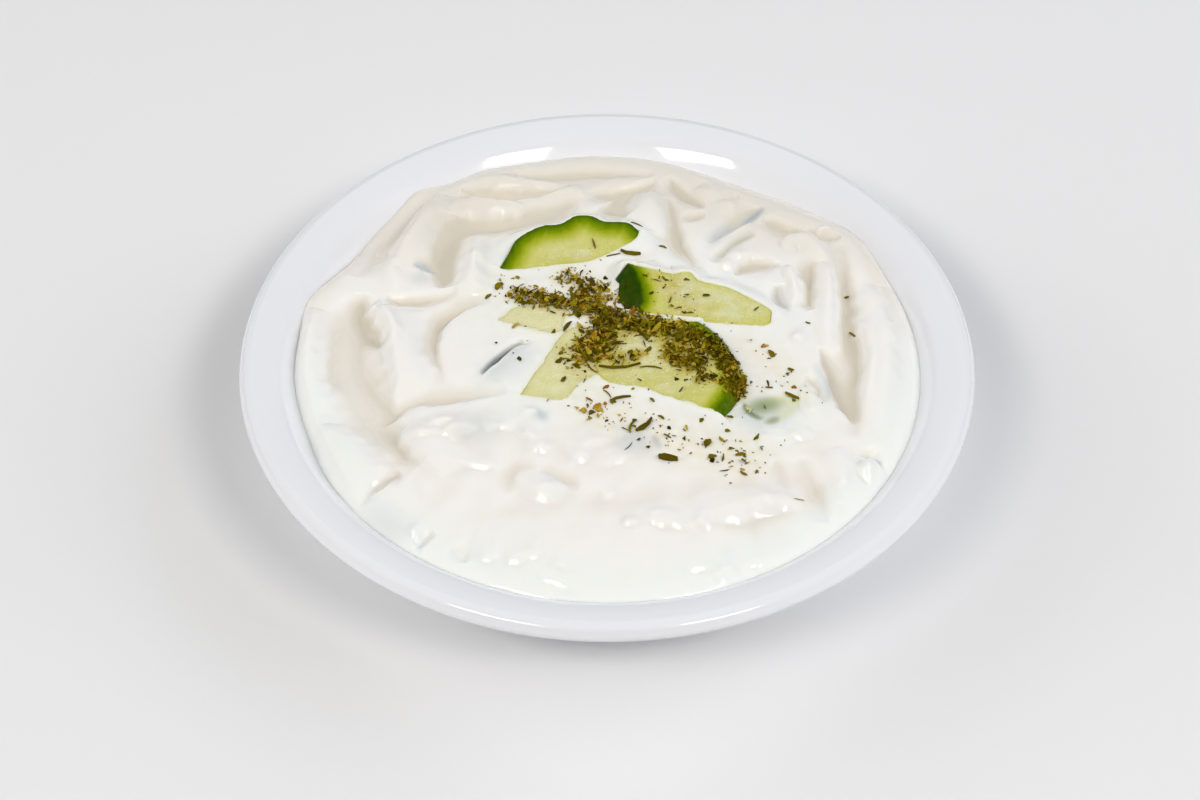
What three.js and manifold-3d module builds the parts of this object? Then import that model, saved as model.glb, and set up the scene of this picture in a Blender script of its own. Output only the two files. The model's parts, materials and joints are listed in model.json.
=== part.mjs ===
// Tzatziki in a small round dish: strained yogurt up to the rim, cucumber slices and dried herbs.
// Millimetres, +Z up.  The origin is on the surface the dish stands on, under its centre.
// The side that faces the eater is -Y.

import * as THREE from 'three';
import { mergeVertices } from 'three/addons/utils/BufferGeometryUtils.js';
import Module from 'manifold-3d';

const wasm = await Module();
wasm.setup();

// ---------------------------------------------------------------- driving dimensions

const DEGREE = Math.PI / 180;
const CLEARANCE = 0.3;           // kept between two pieces that touch
const DISH_SEGMENTS = 64;

// Height of the well's surface by radius: floor, wall, then the flat flange up to the crest.
const WELL = [[0, 7], [25, 7.2], [40, 9], [50, 12.2], [57, 17.9], [61, 22.3], [63.2, 24.8],
  [64.8, 26.6], [66.2, 28], [67.2, 28.7], [68.8, 29.3], [70.6, 29.8], [72.6, 30.2]];
// From the crest over the rounded lip, down the outside, round the foot ring, to the middle.
const OUTSIDE = [[74.1, 29.7], [74.85, 28.5], [74.95, 27.4], [74.2, 26.4], [72, 25.4],
  [67, 22.6], [60, 16.6], [53, 10.4], [47.4, 5.2], [46.5, 3.6]];
const FOOT = [[46.5, 0.7], [45.8, 0], [43.2, 0], [42.5, 0.7], [42, 3.2], [20, 3.6], [0, 3.6]];

const DIP_RADIUS = 64;
const DIP_EDGE_LEVEL = 28.4;     // surface level near the edge, before it rolls down to the wall
const DIP_DOME = 2.8;            // how much the middle stands above that
const DIP_ROLL = 2.8;            // distance over which the edge rolls down
const EDGE_SOFTNESS = 0.9;       // below 1 it ends steeply, above 1 it eases on to the wall
const DIP_RINGS = 27;            // rings of the top surface, six more points in each
// Rings of the underside: share of the edge's radius, and number of points.
const UNDERSIDE = [[0.975, 108], [0.94, 84], [0.9, 72], [0.82, 54], [0.7, 42], [0.5, 30],
  [0.25, 18]];

// Where the edge lies further out than the dip's radius, or further in: middle and width in
// degrees from +X, and distance.
const EDGE_SWELLS = [[165, 6, 0.9], [150, 9, -1.2], [129, 5, 1.4], [116, 6, 0.6],
  [64, 15, -1.4], [34, 8, 1.1], [-88, 46, 2.1], [-161, 10, -0.9]];
// Where it slumped and rolls down over a longer distance: middle, width, and how much longer.
const EDGE_SLUMPS = [[142, 16, 4], [55, 20, 4.5], [98, 22, 1.6]];

const COLOURS = { glaze: '#f1f1f2', yogurt: '#f1efe6', flesh: '#d6d39c' };

// Folds the spoon left: start, middle, end (x, y), height, half width, and how much steeper
// the fold is to the left of its run (-1 to 1).  A negative height is a furrow.
const FOLDS = [
  // left
  [-59, 13, -61, 1, -57, -17, 1.2, 5, 0.4],
  [-52, 17, -51, -6, -36, -33, -1.9, 5.8, 0.2],
  [-50, 12.5, -43.5, 0, -42.5, -17, 1.4, 5, -0.6],
  [-51, 17, -50, 8, -45.5, 1, -1.2, 2.2, 0],
  [-24, 13.6, -34.5, 6, -33, -11, -1.3, 2.4, 0.5],
  [-43, -19, -38, -15.5, -20, -14, -1.1, 2.4, -0.4],
  [-41, -21, -37, -28, -31, -36, 1, 4.5, -0.5],
  [-53, -20, -50, -30, -42, -37, 0.9, 5, 0.3],
  [-40.5, -34, -45, -37, -47, -41.5, -1, 1.5, 0],
  // back, to the left
  [-35, 48, -40, 36, -45, 24, 1.9, 4.2, -0.2],
  [-39, 50, -46, 38, -53, 22, -1.1, 3.2, 0],
  [-33.5, 41, -35, 29, -34, 17.5, -2, 3.6, -0.3],
  [-46, 16, -40, 14.6, -31, 17, -1.1, 1.9, 0.4],
  [-28, 36, -28, 25, -27, 15, 1.2, 3.4, 0.3],
  [-33, 45.5, -26, 44, -17, 43.5, 1.3, 3, 0.5],
  [-33, 40, -22, 39, -6, 45, -1.6, 3.2, 0.2],
  [-31, 50, -21, 47.5, -8, 50.5, -1.2, 1.9, -0.3],
  [-28, 53, -20, 51.5, -11, 52, 0.9, 2.4, 0],
  [-21, 55.5, -5, 54.5, 10, 55, -0.9, 1.8, 0],
  [-5, 48, 4, 48.5, 11, 53, -1, 1.8, 0.3],
  [0, 45, 2, 43, 5, 40, -1, 3.2, 0],
  // back, to the right
  [5, 47, 10.5, 42, 10.5, 33, 1.2, 4.4, 0.2],
  [14, 46, 14.5, 36, 19.5, 23, -1.3, 2.4, 0.3],
  [13.5, 54, 17, 48, 20, 42.5, -1.1, 1.7, 0.3],
  [33, 44, 29.5, 39.5, 22, 31, -0.9, 1.9, 0.5],
  [33, 40, 37, 38, 42, 35, -0.9, 1.6, 0.3],
  [37, 31, 42, 33, 45.5, 27, 1.2, 2.6, 0],
  [42, 36, 46, 34.5, 50, 34.5, -0.9, 1.6, 0],
  [26, 21.5, 30, 24.8, 37, 24.8, -1, 1.6, 0.4],
  [37.5, 24, 39, 18, 38.5, 12, 1.2, 2, -0.3],
  [43.5, 27, 41.5, 18, 42.5, 11, -1.2, 1.8, 0.3],
  [46, 27, 46.5, 12, 46, -2, 1, 2.4, 0],
  [50.5, 32, 50, 8, 49, -25, -1.15, 3, 0.3],
  [56, 20, 57, -2, 54.5, -22, 1.2, 4, 0.2],
  [43.5, 0, 46, -10, 48.5, -20, -1.2, 1.7, -0.4],
  // front
  [51.5, -29.5, 52, -33, 50.5, -36.5, 0.9, 2.2, 0],
  [-26, -51, 0, -55, 28, -50, 0.9, 9, 0],
];
const FOLD_DEPTH = 1.65;         // the folds' heights are multiplied by this
const RIDGE_REACH = 1.5;         // half widths from a ridge's crest to where it has run out
const FURROW_REACH = 2;          // and from a furrow's bottom
const FOLD_ENDS = 0.5;           // share of its width that a fold keeps at its ends
const FOLD_TAPER = 0.7;          // the higher, the sooner a fold dies away towards its ends
const PATH_STEPS = 14;           // straight bits in a fold's path

// The slices, the uppermost first.  A slice's cut face is the plane
// z = level + slope . (x, y) measured from its middle.  The rind is the part of its outline
// that is still skin, and slants out below the face.
const SLICES = {
  cucumber_front: {
    middle: [14, -5], level: 32.4, slope: [0.05, 0.03], thickness: 4.4, bevel: 3.5,
    rind: [[21.5, -20.4], [24.2, -16], [25.2, -12], [24.8, -7.8], [23.4, -2.4], [21.2, 1.8],
      [18.4, 4.6]],
    cut: [[8, 6.2], [0, 3.4], [-2.6, -3], [-2, -8.8], [0.6, -11.5], [7.6, -13.3],
      [16.5, -17.9]],
  },
  cucumber_right: {
    middle: [17, 14], level: 32.4, slope: [-0.07, 0.06], thickness: 4.6, bevel: 6.4,
    rind: [[6.2, 7.9], [7.4, 11], [7.1, 14.6], [5.9, 19], [4.4, 21.2]],
    cut: [[9, 20], [13.6, 18.8], [17.4, 19.4], [19.4, 17.2], [25, 15.7], [33.5, 10.2],
      [32.8, 5.8], [20, 5.8], [12, 6.8]],
  },
  cucumber_back: {
    middle: [-9, 29], level: 32, slope: [0.02, 0.2], thickness: 2.6, bevel: 0.4,
    rind: [[-22.4, 23.2], [-20.6, 27], [-18.8, 30.6], [-14.1, 33.6], [-9.9, 34.2],
      [-6.6, 36.2], [-3.4, 36.2], [-0.4, 34.7], [4.4, 34.3], [6.9, 31.9]],
    cut: [[1.7, 27.2], [-3.5, 24.6], [-9.8, 23.8], [-16.1, 23], [-20.6, 22.5]],
  },
  cucumber_left: {
    middle: [-10, -6], level: 31.2, slope: [0.03, 0.02], thickness: 3, bevel: 0,
    rind: [[-17.3, -14.4], [-16.6, -12.6]],
    cut: [[-13.6, -6.2], [-11.6, -2.4], [-8.4, 3.6], [-3, 4], [1, -2], [0.8, -8.6],
      [-2.4, -9.6], [-5, -11.2], [-7.8, -15], [-13.4, -15.3]],
  },
  cucumber_tip: {
    middle: [-14, 7], level: 31.2, slope: [0.04, 0], thickness: 2.8, bevel: 0,
    rind: [[-22.3, 7], [-22, 7.8]],
    cut: [[-18.6, 11.2], [-13, 12], [-8.4, 9.6], [-8.8, 4.4], [-10.4, 2.8], [-15.6, 3.9]],
  },
  cucumber_sunk: {
    middle: [33, -17], level: 30.3, slope: [0, 0], thickness: 3, bevel: 0,
    rind: [[28.4, -19], [27.3, -16.8]],
    cut: [[31.6, -15], [36.4, -14.4], [38.6, -14.6], [37.2, -18.6], [32.6, -22]],
  },
};
const LIFT = 15;                 // how far the cut for a slice goes on above its face

// Pinches of crumbled herb: start, middle, end (x, y), spread, and how many of the flakes are
// large enough to be made.
const HERB_PINCHES = [
  [-18.4, 13.9, -12.8, 11.9, -5.5, 9.6, 1.6, 20],
  [-8, 19.6, -3.5, 17.4, 0.2, 15.4, 2.0, 12],
  [-5, 12.5, -1.4, 9, 3.5, 5.6, 2.6, 22],
  [0.6, 7, -1.4, 1.4, -3.8, -3.4, 3.2, 24],
  [3.5, 5.6, 12.4, 2.6, 19.8, -2, 2.6, 30],
  [19.6, -2, 24, -6.6, 25.8, -13.7, 1.9, 24],
  [13.1, -4.6, 15.7, -6.7, 18.7, -8.1, 1.9, 14],
  [-3.4, -15.3, 6.5, -23.6, 27, -30.4, 4.5, 16],
  [28, 0.3, 35, -7, 38.7, -13.9, 3.5, 6],
];
const HERB_SEED = 27;
const FLAKE_LENGTH = [1.1, 2.0];
const FLAKE_WIDTH = 0.6;         // in shares of its length
const FLAKE_THICKNESS = 0.8;
// Bits of stalk that lie singly: x, y, length, width, direction in degrees.
const STALKS = [
  [4.8, -7.6, 6.4, 0.8, 2], [2.6, -15.6, 4.2, 0.7, 12], [7.7, -23.1, 4.6, 1.05, 48],
  [4.6, -23.4, 3.8, 0.6, 78], [11.9, -31.6, 3.8, 1.5, -10], [5, 26.4, 3.6, 1, -3],
  [-22.5, 17.4, 2.3, 1.7, 55], [32.2, -0.3, 1.6, 0.9, 20], [37, -14.4, 3.2, 0.9, -34],
  [-1.9, -17.8, 1.8, 1.5, 50], [26.2, -30.2, 2, 0.9, 8], [19.8, -27.2, 1.9, 1.3, 60],
  [50.6, 5.6, 2.2, 0.7, -62],
];
const STALK_SIDES = 5;
const STALK_TIP = 0.84;          // width of its thinner end, in shares of the other
const STALK_FLATNESS = 0.8;      // its thickness, in shares of its width

// ---------------------------------------------------------------- small tools

function randomSource(seed) {
  let state = seed;
  return () => {
    state = (state + 0x6d2b79f5) | 0;
    let t = Math.imul(state ^ (state >>> 15), 1 | state);
    t = (t + Math.imul(t ^ (t >>> 7), 61 | t)) ^ t;
    return ((t ^ (t >>> 14)) >>> 0) / 4294967296;
  };
}

function solidOf(geometry) {
  const bare = geometry.index ? geometry.toNonIndexed() : geometry.clone();
  bare.deleteAttribute('normal');
  bare.deleteAttribute('uv');
  const merged = mergeVertices(bare, 1e-4);
  const index = merged.index.array;
  const triangles = [];
  for (let i = 0; i < index.length; i += 3) {
    const [a, b, c] = [index[i], index[i + 1], index[i + 2]];
    if (a !== b && b !== c && c !== a) triangles.push(a, b, c);
  }
  return new wasm.Manifold(new wasm.Mesh({
    numProp: 3,
    vertProperties: new Float32Array(merged.attributes.position.array),
    triVerts: new Uint32Array(triangles),
  }));
}

function geometryOf(solid) {
  const mesh = solid.getMesh();
  const geometry = new THREE.BufferGeometry();
  geometry.setAttribute('position', new THREE.BufferAttribute(mesh.vertProperties, 3));
  geometry.setIndex(new THREE.BufferAttribute(mesh.triVerts, 1));
  geometry.computeVertexNormals();
  return geometry;
}

function largestPiece(solid) {
  const pieces = solid.decompose();
  return pieces.reduce((best, piece) => (piece.volume() > best.volume() ? piece : best));
}

// Points along the bow through start, middle and end.
function bow([x0, y0, xm, ym, x1, y1], steps) {
  const handle = new THREE.Vector2(2 * xm - (x0 + x1) / 2, 2 * ym - (y0 + y1) / 2);
  const curve = new THREE.QuadraticBezierCurve(
    new THREE.Vector2(x0, y0), handle, new THREE.Vector2(x1, y1));
  return curve.getPoints(steps);
}

// A smooth profile through points given as pairs.
function profile(pairs, steps) {
  return new THREE.SplineCurve(pairs.map(([a, b]) => new THREE.Vector2(a, b))).getPoints(steps);
}

// Distance to an open path, the share of the path there, and on which side of it.
function nearestOnPath(path, x, y) {
  let nearest = { distance: Infinity, along: 0, side: 1 };
  for (let i = 1; i < path.length; i += 1) {
    const a = path[i - 1];
    const run = { x: path[i].x - a.x, y: path[i].y - a.y };
    const share = ((x - a.x) * run.x + (y - a.y) * run.y) / (run.x ** 2 + run.y ** 2);
    const t = THREE.MathUtils.clamp(share, 0, 1);
    const [dx, dy] = [x - a.x - t * run.x, y - a.y - t * run.y];
    const distance = Math.hypot(dx, dy);
    if (distance < nearest.distance) {
      const side = Math.sign(run.x * dy - run.y * dx);
      nearest = { distance, along: (i - 1 + t) / (path.length - 1), side };
    }
  }
  return nearest;
}

// Joins two rings of vertices, each going round once from angle 0, by triangles.
function stitch(triangles, outer, inner) {
  let i = 0;
  let j = 0;
  while (i < outer.length || j < inner.length) {
    const a = outer[i % outer.length];
    const b = inner[j % inner.length];
    const outerNext = (i + 1) * inner.length <= (j + 1) * outer.length;
    if (j >= inner.length || (i < outer.length && outerNext)) {
      i += 1;
      triangles.push(a, outer[i % outer.length], b);
    } else {
      j += 1;
      triangles.push(a, inner[j % inner.length], b);
    }
  }
}

// ---------------------------------------------------------------- dish

function wellHeight(r) {
  const next = WELL.findIndex(([radius]) => radius >= r && radius > 0);
  const [[r0, z0], [r1, z1]] = [WELL[next - 1], WELL[next]];
  return z0 + (z1 - z0) * (r - r0) / (r1 - r0);
}

function makeDish() {
  const lip = profile([WELL.at(-1), ...OUTSIDE], 12).slice(1);
  const section = [...WELL, ...lip.map((point) => [point.x, point.y]), ...FOOT]
    .map(([r, z]) => new THREE.Vector2(r, z));
  const turned = new THREE.LatheGeometry(section.reverse(), DISH_SEGMENTS);
  turned.rotateX(Math.PI / 2);
  return solidOf(turned);
}

// ---------------------------------------------------------------- dip

// The sum at an angle of bell-shaped swells, given by middle and width in degrees, and height.
function swell(swells, angle) {
  let total = 0;
  for (const [middle, width, height] of swells) {
    const turn = angle - middle * DEGREE;
    const away = Math.atan2(Math.sin(turn), Math.cos(turn)) / (width * DEGREE);
    total += height * Math.exp(-(away ** 2));
  }
  return total;
}

function dipEdge(angle) {
  return DIP_RADIUS + swell(EDGE_SWELLS, angle);
}

const foldPaths = FOLDS.map((fold) => bow(fold, PATH_STEPS));

function foldRelief(x, y) {
  let relief = 0;
  FOLDS.forEach((fold, k) => {
    const [height, halfWidth, lean] = fold.slice(6);
    const { distance, along, side } = nearestOnPath(foldPaths[k], x, y);
    const taper = (4 * along * (1 - along)) ** FOLD_TAPER;
    const width = halfWidth * (FOLD_ENDS + (1 - FOLD_ENDS) * taper) * (1 - lean * side);
    const away = Math.min(1, distance / (width * (height > 0 ? RIDGE_REACH : FURROW_REACH)));
    relief += FOLD_DEPTH * height * (1 - away ** 2) ** 2 * taper;
  });
  return relief;
}

function dipTop(x, y) {
  const r = Math.hypot(x, y);
  const angle = Math.atan2(y, x);
  const edge = dipEdge(angle);
  const meets = wellHeight(edge) + CLEARANCE;
  const level = DIP_EDGE_LEVEL + DIP_DOME * (1 - (r / DIP_RADIUS) ** 2) + foldRelief(x, y);
  const roll = DIP_ROLL + swell(EDGE_SLUMPS, angle);
  const down = THREE.MathUtils.clamp((r - edge) / roll + 1, 0, 1);
  const height = meets + (level - meets) * (1 - down ** 2) ** EDGE_SOFTNESS;
  return Math.max(height, wellHeight(r) + 2 * CLEARANCE);
}

function makeDip() {
  const points = [];
  const triangles = [];
  const addPoint = (x, y, z) => points.push(x, y, z) / 3 - 1;
  const ring = (share, count, height) => Array.from({ length: count }, (_, j) => {
    const angle = j / count * 2 * Math.PI;
    const r = dipEdge(angle) * share;
    return addPoint(r * Math.cos(angle), r * Math.sin(angle),
      height(r * Math.cos(angle), r * Math.sin(angle)));
  });
  const underside = (x, y) => wellHeight(Math.hypot(x, y)) + CLEARANCE;

  const edge = ring(1, 6 * DIP_RINGS, underside);
  let outer = edge;
  for (let k = DIP_RINGS - 1; k > 0; k -= 1) {
    const inner = ring(k / DIP_RINGS, 6 * k, dipTop);
    stitch(triangles, outer, inner);
    outer = inner;
  }
  stitch(triangles, outer, [addPoint(0, 0, dipTop(0, 0))]);

  const flipped = [];
  outer = edge;
  for (const [share, count] of UNDERSIDE) {
    const inner = ring(share, count, underside);
    stitch(flipped, outer, inner);
    outer = inner;
  }
  stitch(flipped, outer, [addPoint(0, 0, underside(0, 0))]);
  for (let i = 0; i < flipped.length; i += 3) {
    triangles.push(flipped[i], flipped[i + 2], flipped[i + 1]);
  }

  const geometry = new THREE.BufferGeometry();
  geometry.setAttribute('position', new THREE.BufferAttribute(new Float32Array(points), 3));
  geometry.setIndex(triangles);
  return solidOf(geometry);
}

// ---------------------------------------------------------------- cucumber slices

function faceHeight(slice, x, y) {
  const [dx, dy] = [x - slice.middle[0], y - slice.middle[1]];
  return slice.level + slice.slope[0] * dx + slice.slope[1] * dy;
}

// The outline going round anticlockwise or clockwise as listed, as points with a rind share.
function sliceOutline(slice) {
  const rind = profile(slice.rind, 3 * slice.rind.length);
  const cut = profile([slice.rind.at(-1), ...slice.cut, slice.rind[0]], 3 * slice.cut.length)
    .slice(1, -1);
  const points = [...rind.map((p) => ({ x: p.x, y: p.y, rind: 1 })),
    ...cut.map((p) => ({ x: p.x, y: p.y, rind: 0 }))];
  if (THREE.ShapeUtils.area(points) < 0) points.reverse();
  points.forEach((point, i) => {
    const before = points.at(i - 1);
    const after = points[(i + 1) % points.length];
    const length = Math.hypot(after.x - before.x, after.y - before.y);
    point.out = [(after.y - before.y) / length, (before.x - after.x) / length];
  });
  return points;
}

// The slice grown by a margin on its sides and below, and raised by a lift above its face.
function makeSlice(slice, margin = 0, lift = 0) {
  const outline = sliceOutline(slice);
  const count = outline.length;
  const moved = outline.map(({ x, y, out }) => [x + out[0] * margin, y + out[1] * margin]);
  const positions = [];
  outline.forEach((point, i) => {
    positions.push(moved[i][0], moved[i][1], faceHeight(slice, point.x, point.y) + lift);
  });
  outline.forEach((point, i) => {
    const spread = slice.bevel * point.rind;
    positions.push(moved[i][0] + point.out[0] * spread, moved[i][1] + point.out[1] * spread,
      faceHeight(slice, point.x, point.y) - slice.thickness - margin);
  });
  const trianglesAt = (first) => THREE.ShapeUtils.triangulateShape(outline.map((_, i) => (
    new THREE.Vector2(positions[3 * (first + i)], positions[3 * (first + i) + 1]))), []);
  const triangles = trianglesAt(0).flat();
  for (const [a, b, c] of trianglesAt(count)) triangles.push(a + count, c + count, b + count);
  for (let i = 0; i < count; i += 1) {
    const j = (i + 1) % count;
    triangles.push(i, i + count, j, j, i + count, j + count);
  }
  const geometry = new THREE.BufferGeometry();
  geometry.setAttribute('position', new THREE.BufferAttribute(new Float32Array(positions), 3));
  geometry.setIndex(triangles);
  return solidOf(geometry);
}

// ---------------------------------------------------------------- herbs

const outlines = Object.fromEntries(
  Object.entries(SLICES).map(([name, slice]) => [name, sliceOutline(slice)]));

// Distance outside the outline, negative inside it.
function outsideBy(outline, x, y) {
  let nearest = Infinity;
  let inside = false;
  outline.forEach((b, i) => {
    const a = outline.at(i - 1);
    const [ux, uy] = [b.x - a.x, b.y - a.y];
    const t = Math.min(1, Math.max(0, ((x - a.x) * ux + (y - a.y) * uy) / (ux * ux + uy * uy)));
    nearest = Math.min(nearest, Math.hypot(x - a.x - t * ux, y - a.y - t * uy));
    if ((a.y > y) !== (b.y > y) && x < ux * (y - a.y) / uy + a.x) inside = !inside;
  });
  return inside ? -nearest : nearest;
}

// The piece that carries a bit of this reach, or null where it would cross to another piece.
function carrierAt(x, y, reach) {
  const room = reach + 2 * CLEARANCE;
  for (const [name, outline] of Object.entries(outlines)) {
    const distance = outsideBy(outline, x, y);
    if (distance < -room) return name;
    if (distance < room + SLICES[name].bevel) return null;
  }
  return 'dip';
}

function surfaceHeight(name, x, y) {
  return name === 'dip' ? dipTop(x, y) : faceHeight(SLICES[name], x, y);
}

function placeBit(geometry, name, x, y, turn) {
  const step = 0.5;
  const h = surfaceHeight(name, x, y);
  const fallX = h - surfaceHeight(name, x + step, y);
  const fallY = h - surfaceHeight(name, x, y + step);
  const up = new THREE.Vector3(fallX, fallY, step).normalize();
  const tilt = new THREE.Quaternion().setFromUnitVectors(new THREE.Vector3(0, 0, 1), up);
  geometry.rotateZ(turn);
  geometry.applyQuaternion(tilt);
  geometry.translate(x, y, h);
  return solidOf(geometry);
}

function scatterHerbs() {
  const random = randomSource(HERB_SEED);
  const bits = {};
  const add = (name, solid) => { (bits[name] ??= []).push(solid); };
  const taken = [];

  for (const [x, y, length, width, degrees] of STALKS) {
    const name = carrierAt(x, y, length / 2);
    if (name === null) continue;
    const stalk = new THREE.CylinderGeometry(width / 2, width / 2 * STALK_TIP, length,
      STALK_SIDES);
    stalk.rotateZ(Math.PI / 2);
    stalk.scale(1, 1, STALK_FLATNESS);
    add(name, placeBit(stalk, name, x, y, degrees * DEGREE));
    taken.push([x, y, length / 2]);
  }
  for (const pinch of HERB_PINCHES) {
    const [spread, count] = pinch.slice(6);
    const path = bow(pinch, count);
    for (let i = 0; i < count; i += 1) {
      const centre = path[i];
      const angle = random() * 2 * Math.PI;
      const offset = spread * Math.sqrt(random());
      const [x, y] = [centre.x + offset * Math.cos(angle), centre.y + offset * Math.sin(angle)];
      const size = THREE.MathUtils.lerp(...FLAKE_LENGTH, random() ** 2) / 2;
      const turn = random() * Math.PI;
      const name = carrierAt(x, y, size);
      const crowded = taken.some(([tx, ty, reach]) => Math.hypot(tx - x, ty - y) < reach + size);
      if (name === null || crowded) continue;
      const flake = new THREE.OctahedronGeometry(1);
      flake.scale(size, size * FLAKE_WIDTH, FLAKE_THICKNESS / 2);
      add(name, placeBit(flake, name, x, y, turn));
      taken.push([x, y, size]);
    }
  }
  return bits;
}

// ---------------------------------------------------------------- the part

const solids = { dish: makeDish(), dip: makeDip() };
const cuts = [];
for (const [name, slice] of Object.entries(SLICES)) {
  solids[name] = cuts.reduce((piece, upper) => piece.subtract(upper), makeSlice(slice));
  cuts.push(makeSlice(slice, CLEARANCE, LIFT));
}
solids.dip = cuts.reduce((piece, upper) => piece.subtract(upper), solids.dip);
for (const [name, bits] of Object.entries(scatterHerbs())) {
  solids[name] = wasm.Manifold.union([largestPiece(solids[name]), ...bits]);
}

function finishOf(color, roughness) {
  return new THREE.MeshStandardMaterial({ color, roughness, metalness: 0 });
}

const finishes = { dish: finishOf(COLOURS.glaze, 0.12), dip: finishOf(COLOURS.yogurt, 0.38) };
const fleshFinish = finishOf(COLOURS.flesh, 0.3);

const part = new THREE.Group();
for (const [name, solid] of Object.entries(solids)) {
  const mesh = new THREE.Mesh(geometryOf(largestPiece(solid)), finishes[name] ?? fleshFinish);
  mesh.name = name;
  part.add(mesh);
}

export default part;
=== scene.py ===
"""Tzatziki in a small round dish: the looks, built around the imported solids.

Shapes are worked out in millimetres, +Z up, -Y towards the eater, and become metres as each
mesh is made.
"""
import json
import math

import bpy
import numpy as np
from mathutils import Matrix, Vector

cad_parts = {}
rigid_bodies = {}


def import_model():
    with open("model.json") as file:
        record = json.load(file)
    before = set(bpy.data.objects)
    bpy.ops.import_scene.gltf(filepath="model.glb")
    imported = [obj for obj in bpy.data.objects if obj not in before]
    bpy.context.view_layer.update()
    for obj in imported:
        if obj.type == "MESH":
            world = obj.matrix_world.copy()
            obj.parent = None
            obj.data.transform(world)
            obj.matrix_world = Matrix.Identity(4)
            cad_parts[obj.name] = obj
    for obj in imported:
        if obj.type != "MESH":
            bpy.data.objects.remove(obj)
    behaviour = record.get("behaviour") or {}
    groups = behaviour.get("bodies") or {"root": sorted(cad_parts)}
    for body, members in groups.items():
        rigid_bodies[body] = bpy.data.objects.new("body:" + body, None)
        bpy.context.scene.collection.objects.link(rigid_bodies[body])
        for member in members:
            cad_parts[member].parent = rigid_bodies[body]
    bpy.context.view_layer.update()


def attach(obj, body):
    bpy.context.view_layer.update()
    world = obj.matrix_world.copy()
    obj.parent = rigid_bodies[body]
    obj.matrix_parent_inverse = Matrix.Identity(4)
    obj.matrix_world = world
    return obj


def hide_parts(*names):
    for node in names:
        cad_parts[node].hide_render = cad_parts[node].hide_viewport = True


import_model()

MM = 0.001
DEGREE = math.pi / 180


# ------------------------------------------------------------------ camera

VIEW_ELEVATION = 45.9        # degrees above the table
VIEW_DISTANCE = 550          # mm from the point looked at
VIEW_AIM = (-1.42, -15.04, 30.0)
SENSOR_WIDTH = 36            # mm
LENS = 82.34                 # mm
CLIP = (0.01, 20)            # m, the nearest and the farthest that it sees


def make_camera():
    lens = bpy.data.cameras.new("camera")
    lens.sensor_width = SENSOR_WIDTH
    lens.lens = LENS
    lens.clip_start, lens.clip_end = CLIP
    camera = bpy.data.objects.new("camera", lens)
    back = Vector((0, -math.cos(VIEW_ELEVATION * DEGREE), math.sin(VIEW_ELEVATION * DEGREE)))
    camera.location = (Vector(VIEW_AIM) + back * VIEW_DISTANCE) * MM
    camera.rotation_euler = (-back).to_track_quat("-Z", "Y").to_euler()
    bpy.context.collection.objects.link(camera)
    bpy.context.scene.camera = camera


# ------------------------------------------------------------------ shapes shared by the pieces

DISH_SEGMENTS = 288
# Height of the well's surface by radius: floor, wall, then the flat flange up to the crest.
WELL = [(0, 7), (25, 7.2), (40, 9), (50, 12.2), (57, 17.9), (61, 22.3), (63.2, 24.8),
        (64.8, 26.6), (66.2, 28), (67.2, 28.7), (68.8, 29.3), (70.6, 29.8), (72.6, 30.2)]
# From the crest over the rounded lip, down the outside, round the foot ring, to the middle.
OUTSIDE = [(74.1, 29.7), (74.85, 28.5), (74.95, 27.4), (74.2, 26.4), (72, 25.4), (67, 22.6),
           (60, 16.6), (53, 10.4), (47.4, 5.2), (46.5, 3.6), (46.5, 0.9), (45.8, 0.1),
           (43.2, 0.1), (42.5, 0.9), (42, 3.2), (20, 3.6), (0, 3.6)]
WALL_POINTS = 10             # how many of its points come before the foot ring
WELL_STEPS, WALL_STEPS, FOOT_STEPS = 60, 64, 40

DIP_RADIUS = 64
DIP_EDGE_LEVEL = 28.4        # surface level near the edge, before it rolls down to the wall
DIP_DOME = 2.8               # how much the middle stands above that
DIP_ROLL = 2.8               # mm over which the edge rolls down
EDGE_SOFTNESS = 0.9          # below 1 it ends steeply, above 1 it eases on to the wall
DIP_SKIN = 0.05              # mm the surface stays above the glaze
DIP_RINGS = 110              # rings of the top surface, six more points in each
# Where the edge swells out or draws in: mm, where and how widely, in degrees
EDGE_SWELLS = [
    (0.9, 165, 6), (-1.2, 150, 9), (1.4, 129, 5), (0.6, 116, 6), (-1.4, 64, 15), (1.1, 34, 8),
    (2.1, -88, 46), (-0.9, -161, 10),
]
# Where it slumped and rolls down over more mm
EDGE_SLUMPS = [(4, 142, 16), (4.5, 55, 20), (1.6, 98, 22)]

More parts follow.
